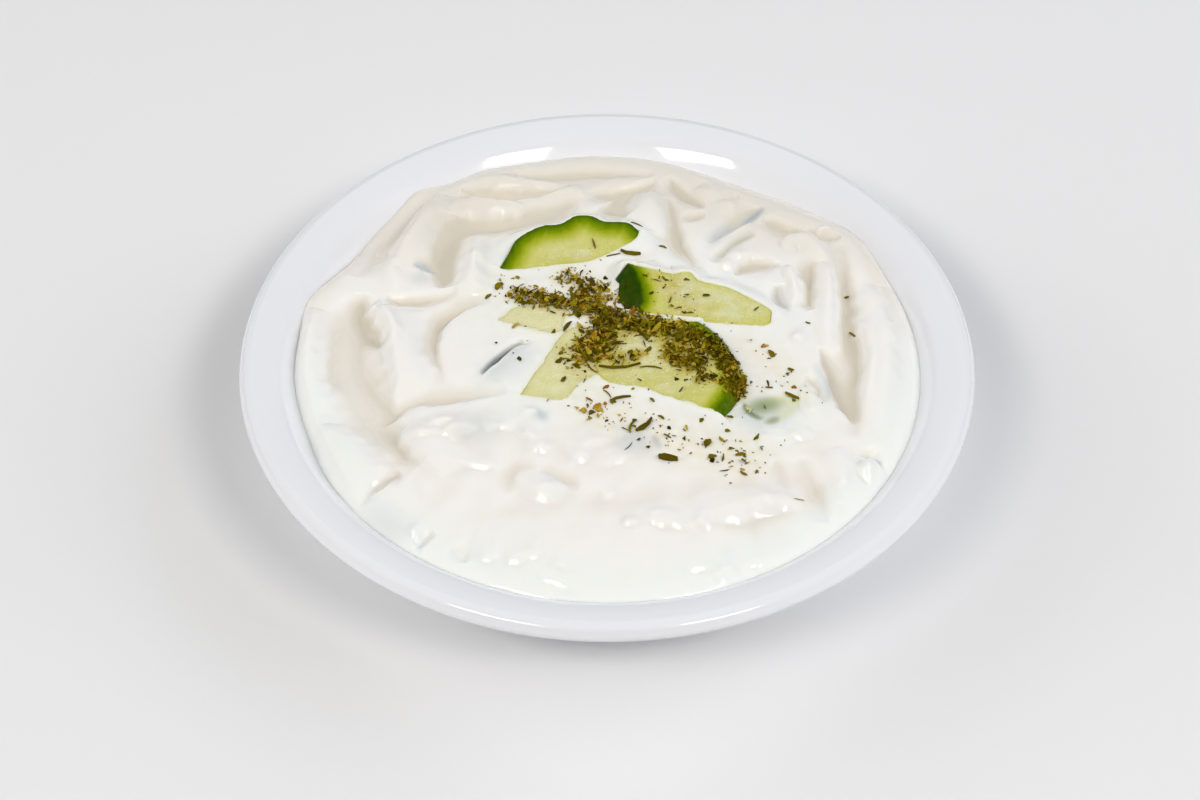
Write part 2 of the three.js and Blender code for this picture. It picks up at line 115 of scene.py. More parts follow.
# Folds the spoon left: start, middle, end (x, y), height, half width, and how much steeper
# the fold is to the left of its run (-1 to 1). A negative height is a furrow.
FOLDS = [
    # left
    (-59, 13, -61, 1, -57, -17, 1.2, 5.0, 0.4),
    (-52, 17, -51, -6, -36, -33, -1.9, 5.8, 0.2),
    (-50, 12.5, -43.5, 0, -42.5, -17, 1.4, 5.0, -0.6),
    (-50.5, 13, -46, 8, -43, 0, 0.7, 1.6, -0.3),
    (-51, 17, -50, 8, -45.5, 1, -1.2, 2.2, 0.0),
    (-24, 13.6, -34.5, 6, -33, -11, -1.3, 2.4, 0.5),
    (-43, -19, -38, -15.5, -20, -14, -1.1, 2.4, -0.4),
    (-41, -21, -37, -28, -31, -36, 1.0, 4.5, -0.5),
    (-53, -20, -50, -30, -42, -37, 0.9, 5.0, 0.3),
    (-40.5, -34, -45, -37, -47, -41.5, -1.0, 1.5, 0.0),
    (-37, -38, -42, -41, -44, -46, 0.6, 4.0, 0.0),
    (-32.5, -49.5, -35, -51, -36, -53, -0.9, 1.3, 0.0),
    (-30, -54, -28.5, -55, -27.5, -57, -0.5, 1.2, 0.0),
    # back, to the left
    (-35, 48, -40, 36, -45, 24, 1.9, 4.2, -0.2),
    (-39, 50, -46, 38, -53, 22, -1.1, 3.2, 0.0),
    (-33.5, 41, -35, 29, -34, 17.5, -2.0, 3.6, -0.3),
    (-46, 16, -40, 14.6, -31, 17, -1.1, 1.9, 0.4),
    (-28, 36, -28, 25, -27, 15, 1.2, 3.4, 0.3),
    (-40.5, 24.5, -38.5, 25, -36.5, 23.5, -0.7, 1.3, 0.0),
    (-47, 27, -46, 23, -42, 19, 0.7, 2.6, 0.0),
    (-33, 45.5, -26, 44, -17, 43.5, 1.3, 3.0, 0.5),
    (-33, 40, -22, 39, -6, 45, -1.6, 3.2, 0.2),
    (-31, 50, -21, 47.5, -8, 50.5, -1.2, 1.9, -0.3),
    (-28, 53, -20, 51.5, -11, 52, 0.9, 2.4, 0.0),
    (-21, 55.5, -5, 54.5, 10, 55, -0.9, 1.8, 0.0),
    (-31.5, 47.8, -28, 47, -25, 47.5, -0.6, 1.0, 0.0),
    (-5, 48, 4, 48.5, 11, 53, -1.0, 1.8, 0.3),
    (-14, 47, -8, 48.5, -3, 47, 0.5, 2.0, 0.0),
    (0, 45, 2, 43, 5, 40, -1.0, 3.2, 0.0),
    # back, to the right
    (5, 47, 10.5, 42, 10.5, 33, 1.2, 4.4, 0.2),
    (14, 46, 14.5, 36, 19.5, 23, -1.3, 2.4, 0.3),
    (13.5, 54, 17, 48, 20, 42.5, -1.1, 1.7, 0.3),
    (16, 40.5, 18, 40, 20.5, 41, -0.7, 1.2, 0.0),
    (20, 50, 24, 46, 28, 42, 0.8, 3.0, 0.0),
    (21, 44, 25, 46.5, 29, 47.5, -0.7, 1.4, 0.0),
    (33, 44, 29.5, 39.5, 22, 31, -0.9, 1.9, 0.5),
    (31.5, 38.5, 27, 33.5, 24, 27.5, 0.6, 2.3, 0.0),
    (31.5, 35, 27, 31, 22.5, 25, -0.8, 1.5, 0.4),
    (33, 40, 37, 38, 42, 35, -0.9, 1.6, 0.3),
    (37, 31, 42, 33, 45.5, 27, 1.2, 2.6, 0.0),
    (42, 36, 46, 34.5, 50, 34.5, -0.9, 1.6, 0.0),
    (44, 36.5, 46, 36.3, 48, 37, 0.7, 1.4, 0.0),
    (26, 21.5, 30, 24.8, 37, 24.8, -1.0, 1.6, 0.4),
    (37.5, 24, 39, 18, 38.5, 12, 1.2, 2.0, -0.3),
    (35.5, 19, 35.5, 15, 37.5, 10, -0.9, 1.4, 0.0),
    (43.5, 27, 41.5, 18, 42.5, 11, -1.2, 1.8, 0.3),
    (46, 27, 46.5, 12, 46, -2, 1.0, 2.4, 0.0),
    (50.5, 32, 50, 8, 49, -25, -1.15, 3.0, 0.3),
    (56, 20, 57, -2, 54.5, -22, 1.2, 4.0, 0.2),
    (43.5, 0, 46, -10, 48.5, -20, -1.2, 1.7, -0.4),
    (40, -8.5, 43, -11, 44.2, -16, -0.8, 1.5, 0.0),
    (52.5, 9, 53, -4, 51, -18, 0.5, 1.6, 0.0),
    (54.5, 28, 57.5, 18, 58.5, 8, -0.6, 1.8, 0.0),
    # front
    (38.5, -31, 40, -38, 42, -47, -0.6, 2.2, 0.3),
    (33.5, -31.5, 35, -34, 35.5, -38, -0.4, 1.7, 0.2),
    (45, -27, 46, -34, 45.5, -42, 0.7, 3.2, 0.0),
    (51.5, -29.5, 52, -33, 50.5, -36.5, 0.9, 2.2, 0.0),
    (50.5, -29, 53, -28.3, 54.3, -31.5, -0.9, 1.0, 0.0),
    (39, -12, 42, -17, 40, -23, 0.7, 3.2, 0.0),
    (28, -24.5, 33, -25.5, 38, -25, 0.5, 2.0, 0.0),
    (-18, -36, -13, -38.5, -8, -39, 0.5, 2.8, -0.3),
    (-19.5, -40, -18, -35, -13, -34, -0.4, 1.8, 0.0),
    (-13, -34, -9, -36, -6, -39.5, -0.4, 1.6, 0.0),
    (-26, -51, 0, -55, 28, -50, 0.9, 9.0, 0.0),
    (4, -45, 20, -44.5, 37, -40, 0.5, 4.0, -0.3),
    # over the slice that lies under the yogurt
    (-15.1, 0.4, -19.6, -1.4, -25.3, -7.8, -0.8, 0.7, 0.0),
    (-16.5, -0.8, -20, -3, -25, -9.2, 0.45, 0.7, 0.0),
    (-22, -10.5, -18, -7, -13, -3.5, 0.5, 3.4, 0.0),
]

# Wet edges, where the yogurt breaks off in a small steep front: x, y, length, the side it is
# turned to (1 right, -1 left) and the width of the front
WET_EDGES = [
    (-36.5, -25.8, 5, -1, 1.05), (-28.9, -24.8, 3.1, 1, 1.67), (-22.5, -23.8, 1.7, 1, 0.96),
    (-20.4, -23.8, 1.4, -1, 0.96), (-15.9, -26.3, 1.9, -1, 1.05), (-12.8, -30.1, 2.2, 1, 1.4),
    (-15.2, -20.2, 1.9, 1, 1.05), (-2.4, -28.4, 2.9, 1, 1.15), (-5.2, -32.5, 1.7, 1, 1.4),
    (3, -26.5, 2.4, 1, 0.96), (2.2, -32.8, 4.4, 1, 1.04), (-25.2, -33.6, 8, -1, 0.94),
    (-12.8, -42.1, 3.8, -1, 1.4), (0.5, -41.5, 1.2, 1, 0.85), (4.1, -49.3, 1.4, -1, 0.94),
    (9.4, -48.9, 3.6, -1, 1.05), (14, -50, 4.1, -1, 1.04), (18.1, -49.6, 1.7, -1, 1.32),
    (24.4, -47.7, 4.6, 1, 1.4), (30.4, -45.4, 3.1, 1, 1.59), (34, -44, 4.6, 1, 1.76),
    (39, -25.7, 2.9, 1, 1.23), (39.9, -18.8, 1.4, -1, 0.94), (32.5, -24, 2.4, -1, 1.04),
    (51.1, -34, 1.7, 1, 1.15), (-14.3, -57.2, 3.1, 1, 0.96), (-23, -56.9, 2.6, -1, 0.96),
    (-18.1, -57.9, 1.4, -1, 0.94), (-9, -59.5, 2.9, -1, 0.94), (17.5, -59.3, 4.2, 1, 1.04),
    (23.1, -59.3, 1.7, 1, 0.94), (28.6, -57.5, 4.2, 1, 0.94), (-37.3, -50.1, 2.6, -1, 1.04),
    (-27.4, 24.7, 1.7, 1, 1.15), (27.5, 26, 1.7, -1, 1.15), (25.1, 22.8, 1.7, -1, 1.05),
    (38.7, 1.5, 1.2, -1, 1.04), (35.1, 8.1, 1.4, 1, 0.96), (-19, -13, 6.4, -1, 0.85),
    (-33, -22.4, 2.6, 1, 0.96), (-31.6, -26.4, 1.9, -1, 0.96), (-10.5, -62.2, 7.4, -1, 0.94),
    (21, -61, 1.9, -1, 0.96), (-11.4, -16.4, 4.4, -1, 0.85), (46, -38, 1.7, 1, 0.96),
]
WET_EDGE_TURN = 17           # degrees that a front is turned to its side, towards the light
WET_EDGE_SLOPE = 0.87        # how steep it is, which makes it shine
WET_EDGE_BOW = 0.12          # how far its ends bend back, less on a long one
WET_EDGE_ROUND = 0.12        # how round its foot and its top are, in widths
WET_EDGE_BACK = 2.8          # how far it takes to fall away at the back, in widths
WET_EDGE_ENDS = 1.6          # how far it runs out past its ends, in widths
WET_EDGE_REACH = 7           # how far beyond its length it is followed, in widths

MARK_FADE = 1.5              # how far a mark fades out, in half widths
MARK_WIDTH, MARK_TIP = 0.6, 0.4     # how wide and how strong it still is at its ends, of 1
# What shows dimly through the yogurt: start, middle, end (x, y), half width and strength
GREEN_FLESH_BELOW = [
    (28.4, -18.4, 31.2, -17, 34.6, -16, 2.3, 0.7), (27.5, -16.6, 28.6, -19, 30.8, -20.6, 0.8, 0.9),
    (31.6, -21.8, 33, -21.2, 34, -20.4, 1.0, 0.7), (31.4, 35, 27, 31, 22.6, 25.4, 1.4, 0.22),
]
PALE_FLESH_BELOW = [
    (34, -20, 36, -18, 38, -16, 2.6, 0.4),
    (-25, -10, -21, -6.4, -16, -2.4, 4.4, 0.4), (-26, -8.6, -20.6, -3.6, -15.6, 0, 2.0, 0.5),
    (-14, -20.6, -13, -20.2, -12, -19.6, 2.0, 0.6), (28, 38, 24.6, 34.6, 22, 30.5, 2.4, 0.55),
    (33.4, 43.4, 31.6, 41, 28.6, 38.8, 1.6, 0.8), (36, 18, 36, 14, 37.6, 10.6, 1.5, 0.4),
    (-40.4, 24.6, -38.6, 25, -36.6, 23.6, 1.4, 0.9),
    (-41, 21, -39, 20.8, -37.6, 21, 2.4, 0.4), (3, -25, 5, -27, 9, -29, 4.0, 0.5),
    (-28, -18, -26, -23, -25, -28, 5.0, 0.25), (27, -17, 31, -19, 36, -17, 5.0, 0.6),
    (42.6, -5, 44, -9, 45, -14, 1.6, 0.5), (-46, -43, -42, -47, -38, -50, 4.0, 0.3),
]
SKIN_BELOW = [
    (27.3, -16.6, 28.4, -19.2, 30.6, -20.6, 0.6, 0.3),
    (-41, -34.4, -45, -37.4, -47, -42, 0.6, 0.12), (-33, -50, -35, -51.4, -36, -53.4, 0.6, 0.2),
    (33.4, 43.4, 31.6, 41, 29.6, 39.4, 1.1, 0.22), (9.6, -25.6, 9.6, -26.6, 10.4, -28.4, 0.9, 0.3),
    (-25.3, -7.8, -21.6, -3.6, -17.4, 0.8, 0.9, 0.75), (31, 34.6, 28, 31.6, 25, 28, 0.8, 0.06),
    (44, -1, 46, -9, 48, -17, 0.8, 0.08), (-14, -20.4, -13, -20, -12.4, -19.6, 1.2, 0.1),
]

# A slice, in mm: its cut face is the plane z = level + slope . (x, y), measured from its middle.
# The rind is the part of its outline that is still skin, and slants out by the bevel on its way
# down through the thickness. Bare is the height of rind that the yogurt leaves free, lap is how
# far it laps over the cut edge, and film how thick it is there. Green is how far in from the
# rind the flesh goes on turning paler. Two are shares: veil is how milky the face is, and paler
# how far along those greens the rind starts.
SLICES = {
    "cucumber_back": {
        "middle": (-9, 29), "level": 32, "slope": (0.02, 0.2), "thickness": 2.6, "bevel": 0.4,
        "bare": 0.3, "lap": 0.1, "film": 0.15, "veil": 0, "green": 12.5, "paler": 0.03,
        "rind": [(-22.4, 23.2), (-20.6, 27), (-18.8, 30.6), (-14.1, 33.6), (-9.9, 34.2),
                 (-6.6, 36.2), (-3.4, 36.2), (-0.4, 34.7), (4.4, 34.3), (6.9, 31.9)],
        "cut": [(5.8, 29.8), (1.7, 27.2), (-3.5, 24.6), (-9.8, 23.8), (-16.1, 23), (-20.6, 22.5)],
    },
    "cucumber_right": {
        "middle": (17, 14), "level": 32.4, "slope": (-0.07, 0.06), "thickness": 4.6,
        "bevel": 6.4, "bare": 4.0, "lap": 0.1, "film": 0.15, "veil": 0, "green": 8.6, "paler": 0,
        "rind": [(6.2, 7.9), (7.4, 11), (7.1, 14.6), (5.9, 19), (4.4, 21.2)],
        "cut": [(9, 20), (13.6, 18.8), (15.3, 19.4), (17.4, 19.4), (19.4, 17.2), (25, 15.7),
                (30.1, 12.7), (33.5, 10.2), (33.8, 8.4), (32.8, 5.8), (27, 5.5), (20, 5.8),
                (12, 6.8)],
    },
    "cucumber_front": {
        "middle": (14, -5), "level": 32.4, "slope": (0.05, 0.03), "thickness": 4.4,
        "bevel": 3.5, "bare": 1.6, "lap": 0.3, "film": 0.2, "veil": 0, "green": 9, "paler": 0.09,
        "rind": [(21.5, -20.4), (24.2, -16), (25.2, -12), (24.8, -7.8), (23.4, -2.4),
                 (21.2, 1.8), (18.4, 4.6)],
        "cut": [(8, 6.2), (0, 3.4), (-2.6, -3), (-2, -8.8), (0.6, -11.5), (4.2, -12.6),
                (7.6, -13.3), (11, -15.4), (16.5, -17.9)],
    },
    "cucumber_left": {
        "middle": (-10, -6), "level": 31.2, "slope": (0.03, 0.02), "thickness": 3, "bevel": 0,
        "bare": 0, "lap": 0.3, "film": 0.12, "veil": 0.35, "green": 9, "paler": 0,
        "rind": [(-17.3, -14.4), (-16.6, -12.6)],
        "cut": [(-13.6, -6.2), (-11.6, -2.4), (-8.4, 3.6), (-3, 4), (1, -2), (0.8, -8.6),
                (-2.4, -9.6), (-5, -11.2), (-7.8, -15), (-9.6, -16), (-13.4, -15.3)],
    },
    "cucumber_tip": {
        "middle": (-14, 7), "level": 31.2, "slope": (0.04, 0), "thickness": 2.8, "bevel": 0,
        "bare": 0, "lap": 0.6, "film": 0.2, "veil": 0.5, "green": 9, "paler": 0,
        "rind": [(-22.3, 7), (-22, 7.8)],
        "cut": [(-18.6, 11.2), (-13, 12), (-8.4, 9.6), (-8.8, 4.4), (-10.4, 2.8), (-15.6, 3.9)],
    },
    "cucumber_sunk": {
        "middle": (33, -17), "level": 30.3, "slope": (0, 0), "thickness": 3, "bevel": 0,
        "bare": 0, "lap": 9, "film": 0.25, "veil": 0.5, "green": 9, "paler": 0,
        "rind": [(28.4, -19), (27.3, -16.8)],
        "cut": [(31.6, -15), (36.4, -14.4), (38.6, -14.6), (37.2, -18.6), (32.6, -22)],
    },
}


def spline(points, steps):
    """Evenly stepped points on the smooth curve through the points given."""
    points = np.array(points, float)
    last = len(points) - 1
    t = np.linspace(0, last, steps + 1)
    i = np.minimum(t.astype(int), last - 1)
    u = (t - i)[:, None]
    before, after = points[np.maximum(i - 1, 0)], points[np.minimum(i + 2, last)]
    a, b = points[i], points[i + 1]
    go, come = (b - before) / 2, (after - a) / 2
    return ((2 * a - 2 * b + go + come) * u ** 3 + (3 * b - 3 * a - 2 * go - come) * u ** 2
            + go * u + a)


def bow(run, steps):
    """Points along the bow through a start, a middle and an end, given as x, y, x, y, x, y."""
    start, middle, end = np.array(run, float).reshape(3, 2)
    handle = 2 * middle - (start + end) / 2
    t = np.linspace(0, 1, steps + 1)[:, None]
    return (1 - t) ** 2 * start + 2 * t * (1 - t) * handle + t ** 2 * end


def smooth_step(low, high, x):
    """0 at the low value, 1 at the high one, and an even rise between them."""
    t = np.clip((x - low) / (high - low), 0, 1)
    return t * t * (3 - 2 * t)


def with_bells(start, bells, angle):
    """A measure that goes round the dish, with a bell added for each (height, centre, width)."""
    total = start
    for height, centre, width in bells:
        turn = np.arctan2(np.sin(angle - centre * DEGREE), np.cos(angle - centre * DEGREE))
        total = total + height * np.exp(-(turn / (width * DEGREE)) ** 2)
    return total


SWELLS = 12                  # how many random swells make up waviness
SWELL_SIZES = (0.7, 1.6)     # their least and greatest size, in sizes of the waviness
SWELL_SUM = 5                # what their heights, each of 1, seldom add up to


def waviness(x, y, size, seed):
    """Gentle random swells of about this size in mm, mostly between -1 and 1."""
    random = np.random.default_rng(seed)
    total = np.zeros(x.shape)
    for _ in range(SWELLS):
        turn, phase = random.uniform(0, 2 * math.pi, 2)
        pitch = 2 * math.pi / (size * random.uniform(*SWELL_SIZES))
        total += np.sin((x * math.cos(turn) + y * math.sin(turn)) * pitch + phase)
    return total / SWELL_SUM


def with_waves(start, waves, x, y):
    """A measure over the surface, with waviness added for each (height, size, seed)."""
    total = start
    for height, size, seed in waves:
        total = total + height * waviness(x, y, size, seed)
    return total


well_curve = spline(WELL, 3 * WELL_STEPS)


def well_height(r):
    """Height of the well's glaze at a radius."""
    return np.interp(r, *well_curve.T)


def nearest_on_path(path, x, y):
    """Distance to an open path, the share of the path there, and on which side of it."""
    nearest = np.full(x.shape, np.inf)
    along = np.zeros(x.shape)
    side = np.ones(x.shape)
    for i, (a, b) in enumerate(zip(path[:-1], path[1:])):
        run = b - a
        t = np.clip(((x - a[0]) * run[0] + (y - a[1]) * run[1]) / (run @ run), 0, 1)
        dx, dy = x - a[0] - t * run[0], y - a[1] - t * run[1]
        distance = np.hypot(dx, dy)
        closer = distance < nearest
        nearest = np.where(closer, distance, nearest)
        along = np.where(closer, (i + t) / (len(path) - 1), along)
        side = np.where(closer, np.sign(run[0] * dy - run[1] * dx), side)
    return nearest, along, side


def make_mesh(name, points, faces, smooth=True):
    """A mesh object in metres from points in millimetres."""
    mesh = bpy.data.meshes.new(name)
    mesh.from_pydata((np.asarray(points) * MM).tolist(), [], faces)
    mesh.polygons.foreach_set("use_smooth", [smooth] * len(mesh.polygons))
    mesh.validate()
    obj = bpy.data.objects.new(name, mesh)
    bpy.context.collection.objects.link(obj)
    return obj


def vertex_points(obj):
    """The mesh's points in millimetres."""
    points = np.empty(len(obj.data.vertices) * 3)
    obj.data.vertices.foreach_get("co", points)
    return points.reshape(-1, 3) / MM


def store(obj, name, values):
    """Keeps one number a vertex, for the shaders to read."""
    attribute = obj.data.attributes.new(name, "FLOAT", "POINT")
    attribute.data.foreach_set("value", np.asarray(values, np.float32))


def settle(obj):
    """Turns what an object's modifiers give into its plain mesh."""
    evaluated = obj.evaluated_get(bpy.context.evaluated_depsgraph_get())
    mesh = bpy.data.meshes.new_from_object(evaluated)
    obj.modifiers.clear()
    obj.data = mesh


# ------------------------------------------------------------------ node trees

class Wire:
    """A node's output with arithmetic: an expression on wires adds its Math nodes."""

    def __init__(self, tree, socket):
        self.tree, self.socket = tree, socket

    def beside(self, name):
        """Another output of the same node."""
        return Wire(self.tree, self.socket.node.outputs[name])

    def _math(self, operation, left, right):
        return self.tree.node("ShaderNodeMath", {"operation": operation}, {0: left, 1: right})

    def __add__(self, other):
        return self._math("ADD", self, other)

    def __radd__(self, other):
        return self._math("ADD", other, self)

    def __sub__(self, other):
        return self._math("SUBTRACT", self, other)

    def __rsub__(self, other):
        return self._math("SUBTRACT", other, self)

    def __mul__(self, other):
        return self._math("MULTIPLY", self, other)

    def __rmul__(self, other):
        return self._math("MULTIPLY", other, self)


class Tree:
    """A node tree that grows a node at a time."""

    def __init__(self, tree):
        self.nodes, self.links = tree.nodes, tree.links

    def node(self, kind, settings=None, inputs=None, output=0):
        """Adds a node, sets it and its sockets, and gives back one of its outputs."""
        node = self.nodes.new(kind)
        for key, value in (settings or {}).items():
            if key == "stops":
                self._ramp(node.color_ramp, value)
            else:
                setattr(node, key, value)
        for key, value in (inputs or {}).items():
            self.plug(value, node.inputs[key])
        return Wire(self, node.outputs[output])

    def plug(self, value, socket):
        """Gives a socket a wire or a plain value."""
        if isinstance(value, Wire):
            self.links.new(value.socket, socket)
        else:
            socket.default_value = value

    @staticmethod
    def _ramp(ramp, stops):
        while len(ramp.elements) < len(stops):
            ramp.elements.new(1)
        for element, (place, tint) in zip(ramp.elements, stops):
            element.position, element.color = place, tint


class Finish(Tree):
    """A material with a Principled surface, filled in by expressions."""

    def __init__(self, name, **constants):
        self.material = bpy.data.materials.new(name)
        self.material.use_nodes = True
        super().__init__(self.material.node_tree)
        self.surface = self.nodes["Principled BSDF"]
        for socket, value in constants.items():
            self.feed(socket.replace("_", " "), value)

    def feed(self, socket, value):
        """Gives one of the surface's sockets a wire or a plain value."""
        self.plug(value, self.surface.inputs[socket])

    def attribute(self, name):
        return self.node("ShaderNodeAttribute", {"attribute_name": name}, output="Fac")

    def noise(self, size_mm, detail=2, stretch=(1, 1, 1)):
        """Noise around the middle of 0 to 1, with features of this size."""
        place = self.node("ShaderNodeTexCoord", output="Object")
        where = self.node("ShaderNodeMapping", inputs={"Vector": place, "Scale": stretch})
        return self.node("ShaderNodeTexNoise", inputs={
            "Vector": where, "Scale": 1 / (size_mm * MM), "Detail": detail})

    def mix(self, share, first, second):
        """Colours mixed by a share."""
        return self.node("ShaderNodeMix", {"data_type": "RGBA"},
                         {0: share, 6: first, 7: second}, output=2)

    def coated(self, base, coats):
        """A base under coats of colour, each with the share by which it covers."""
        for share, tint in coats:
            base = self.mix(share, base, tint)
        return base

    def ramp(self, share, stops):
        return self.node("ShaderNodeValToRGB", {"stops": stops}, {"Fac": share})

    def mask(self, share, low, high):
        """0 up to the low share, then rising to 1 at the high one."""
        return self.ramp(share, [(low, colour(0, 0, 0)), (high, colour(255, 255, 255))])

    def relief(self, height, depth_mm):
        """Feeds a height, in shares of a depth, to the surface's normal."""
        self.feed("Normal", self.node("ShaderNodeBump", inputs={
            "Height": height, "Distance": depth_mm * MM}))


def colour(red, green, blue):
    """A colour given as it looks on a screen, 0 to 255, for a shader."""
    def linear(value):
        value /= 255
        return value / 12.92 if value <= 0.04045 else ((value + 0.055) / 1.055) ** 2.4
    return (linear(red), linear(green), linear(blue), 1)


# ------------------------------------------------------------------ finishes

def glaze_finish():
    finish = Finish("white_glaze", Roughness=0.09, IOR=1.52, Coat_Weight=0.4, Coat_Roughness=0.04)
    finish.feed("Base Color", finish.mix(
        finish.noise(38), colour(236, 237, 242), colour(240, 241, 245)))
    return finish.material


# What tints the yogurt, from the lowest coat up: where, as an attribute of its surface, how
#  strongly, and the colour. The first coat is partly painted light, whiter along the front rim
YOGURT_COATS = [
    # the second coat is painted shade: darker in low spots, over the back and along the far rim
    ("pale", 1, colour(243, 245, 241)), ("hollow", 1, colour(222, 215, 201)),
    ("stain", 0.45, colour(216, 197, 112)), ("film", 0.7, colour(232, 230, 170)),
    ("flesh_below", 1, colour(198, 207, 213)), ("green_below", 1, colour(132, 148, 88)),
    ("skin_below", 1, colour(66, 86, 98)),
]


def yogurt_finish():
    finish = Finish("strained_yogurt", IOR=1.36, Subsurface_Weight=1.0,
                    Subsurface_Radius=(1.0, 0.95, 0.88), Subsurface_Scale=0.7 * MM)
    cream = finish.mix(finish.noise(16), colour(248, 244, 241), colour(246, 242, 236))
    finish.feed("Base Color", finish.coated(cream, [
        (strength * finish.attribute(where), tint) for where, strength, tint in YOGURT_COATS]))
    # rougher where the painted shade lies
    finish.feed("Roughness", 0.04 + 0.07 * finish.noise(7) + 0.35 * finish.attribute("hollow"))
    finish.relief(finish.noise(2.2), 0.04)
    return finish.material


# The flesh's colour, from the skin inwards
RIND = [
    (0.0, colour(32, 68, 3)), (0.05, colour(44, 80, 3)), (0.1, colour(84, 114, 4)),
    (0.2, colour(126, 149, 5)), (0.32, colour(178, 186, 52)), (0.48, colour(212, 211, 126)),
    (1.0, colour(222, 220, 162)),
]


def cucumber_finish():
    finish = Finish("wet_cucumber", IOR=1.38, Roughness=0.12, Specular_IOR_Level=0.35,
                    Subsurface_Weight=0.5,
                    Subsurface_Radius=(1.6, 2.0, 0.7), Subsurface_Scale=0.9 * MM)
    from_rind = finish.attribute("from_rind")
    blotches = 0.07 * (finish.noise(1.2, detail=3) - 0.5)
    streaks = 0.05 * (finish.noise(1.6, stretch=(1.6, 0.4, 1)) - 0.5)
    inner = finish.mask(from_rind, 0.35, 0.75)
    watery = finish.mask(finish.noise(4.5, detail=3), 0.42, 0.62)
    milky = finish.mask(finish.noise(6, stretch=(1, 1.8, 1)), 0.48, 0.66)
    # painted glints: small near-white specks over the wet flesh
    painted_glints = finish.mask(finish.noise(0.42, detail=1), 0.6, 0.7)
    finish.feed("Base Color", finish.coated(finish.ramp(from_rind + blotches + streaks, RIND), [
        (0.5 * watery * inner, colour(204, 202, 104)),
        (0.6 * milky * inner, colour(232, 232, 204)),
        (0.75 * finish.attribute("cut_edge") * inner, colour(204, 204, 92)),
        (finish.attribute("stain") * (0.2 + 0.7 * inner), colour(182, 160, 6)),
        # the painted glints
        (0.5 * painted_glints * inner, colour(238, 238, 206)),
        (finish.attribute("veil"), colour(242, 238, 204))]))
    finish.relief(finish.noise(0.6) + 0.8 * finish.noise(2.4, detail=1), 0.3)
    return finish.material


# ------------------------------------------------------------------ dish

def make_dish(finish):
    well = spline(WELL, WELL_STEPS)[1:]
    wall = spline([WELL[-1]] + OUTSIDE[:WALL_POINTS], WALL_STEPS)[1:]
    foot = spline(OUTSIDE[WALL_POINTS - 1:], FOOT_STEPS)[1:-1]
    profile = np.vstack([well, wall, foot])
    turns = np.arange(DISH_SEGMENTS) / DISH_SEGMENTS * 2 * math.pi
    points = [(0, 0, WELL[0][1])]
    for r, z in profile:
        points += [(r * math.cos(t), r * math.sin(t), z) for t in turns]
    points.append((0, 0, OUTSIDE[-1][1]))
    faces = []
    for j in range(DISH_SEGMENTS):
        k = (j + 1) % DISH_SEGMENTS
        faces.append((0, 1 + j, 1 + k))
        for i in range(len(profile) - 1):
            a, b = 1 + i * DISH_SEGMENTS, 1 + (i + 1) * DISH_SEGMENTS
            faces.append((a + j, b + j, b + k, a + k))
        a = 1 + (len(profile) - 1) * DISH_SEGMENTS
        faces.append((a + j, len(points) - 1, a + k))
    dish = make_mesh("glazed_dish", points, faces)
    dish.data.materials.append(finish)
    return dish


# ------------------------------------------------------------------ cucumber slices

VOXEL = 0.24                 # mm, of the slices' remeshed skin
VOXEL_SMOOTHING = (0.5, 4)   # how much it is smoothed, and how often
OUTLINE_STEPS = 10           # steps of the outline's curve for each of its points
SKIN_THICKNESS = 0.6         # mm of skin round the face
SKINLESS_START = 3           # mm in from the rind at which the face of a slice without skin starts
CUT_EDGE_WIDTH = 1.4         # mm over which a cut edge is greener


def face_height(cut, x, y):
    """Height of a slice's cut face."""
    return cut["level"] + cut["slope"][0] * (x - cut["middle"][0]) \
        + cut["slope"][1] * (y - cut["middle"][1])


def slice_outline(cut):
    """The outline, anticlockwise, and for each point whether it is rind."""
    rind = spline(cut["rind"], OUTLINE_STEPS * len(cut["rind"]))
    flesh = spline([cut["rind"][-1]] + cut["cut"] + [cut["rind"][0]],
                   OUTLINE_STEPS * len(cut["cut"]))[1:-1]
    points = np.vstack([rind, flesh])
    is_rind = np.array([1.0] * len(rind) + [0.0] * len(flesh))
    x, y = points.T
    if np.sum(x * np.roll(y, -1) - y * np.roll(x, -1)) < 0:
        points, is_rind = points[::-1], is_rind[::-1]
    return points, is_rind


def outside_by(outline, x, y):
    """Distance outside a closed outline, negative inside it."""
    nearest = nearest_on_path(np.vstack([outline, outline[:1]]), x, y)[0]
    inside = np.zeros(x.shape, bool)
    for a, b in zip(outline, np.roll(outline, -1, axis=0)):
        if a[1] != b[1]:
            crossing = (a[1] > y) != (b[1] > y)
            inside ^= crossing & (x < (b[0] - a[0]) * (y - a[1]) / (b[1] - a[1]) + a[0])
    return np.where(inside, -nearest, nearest)


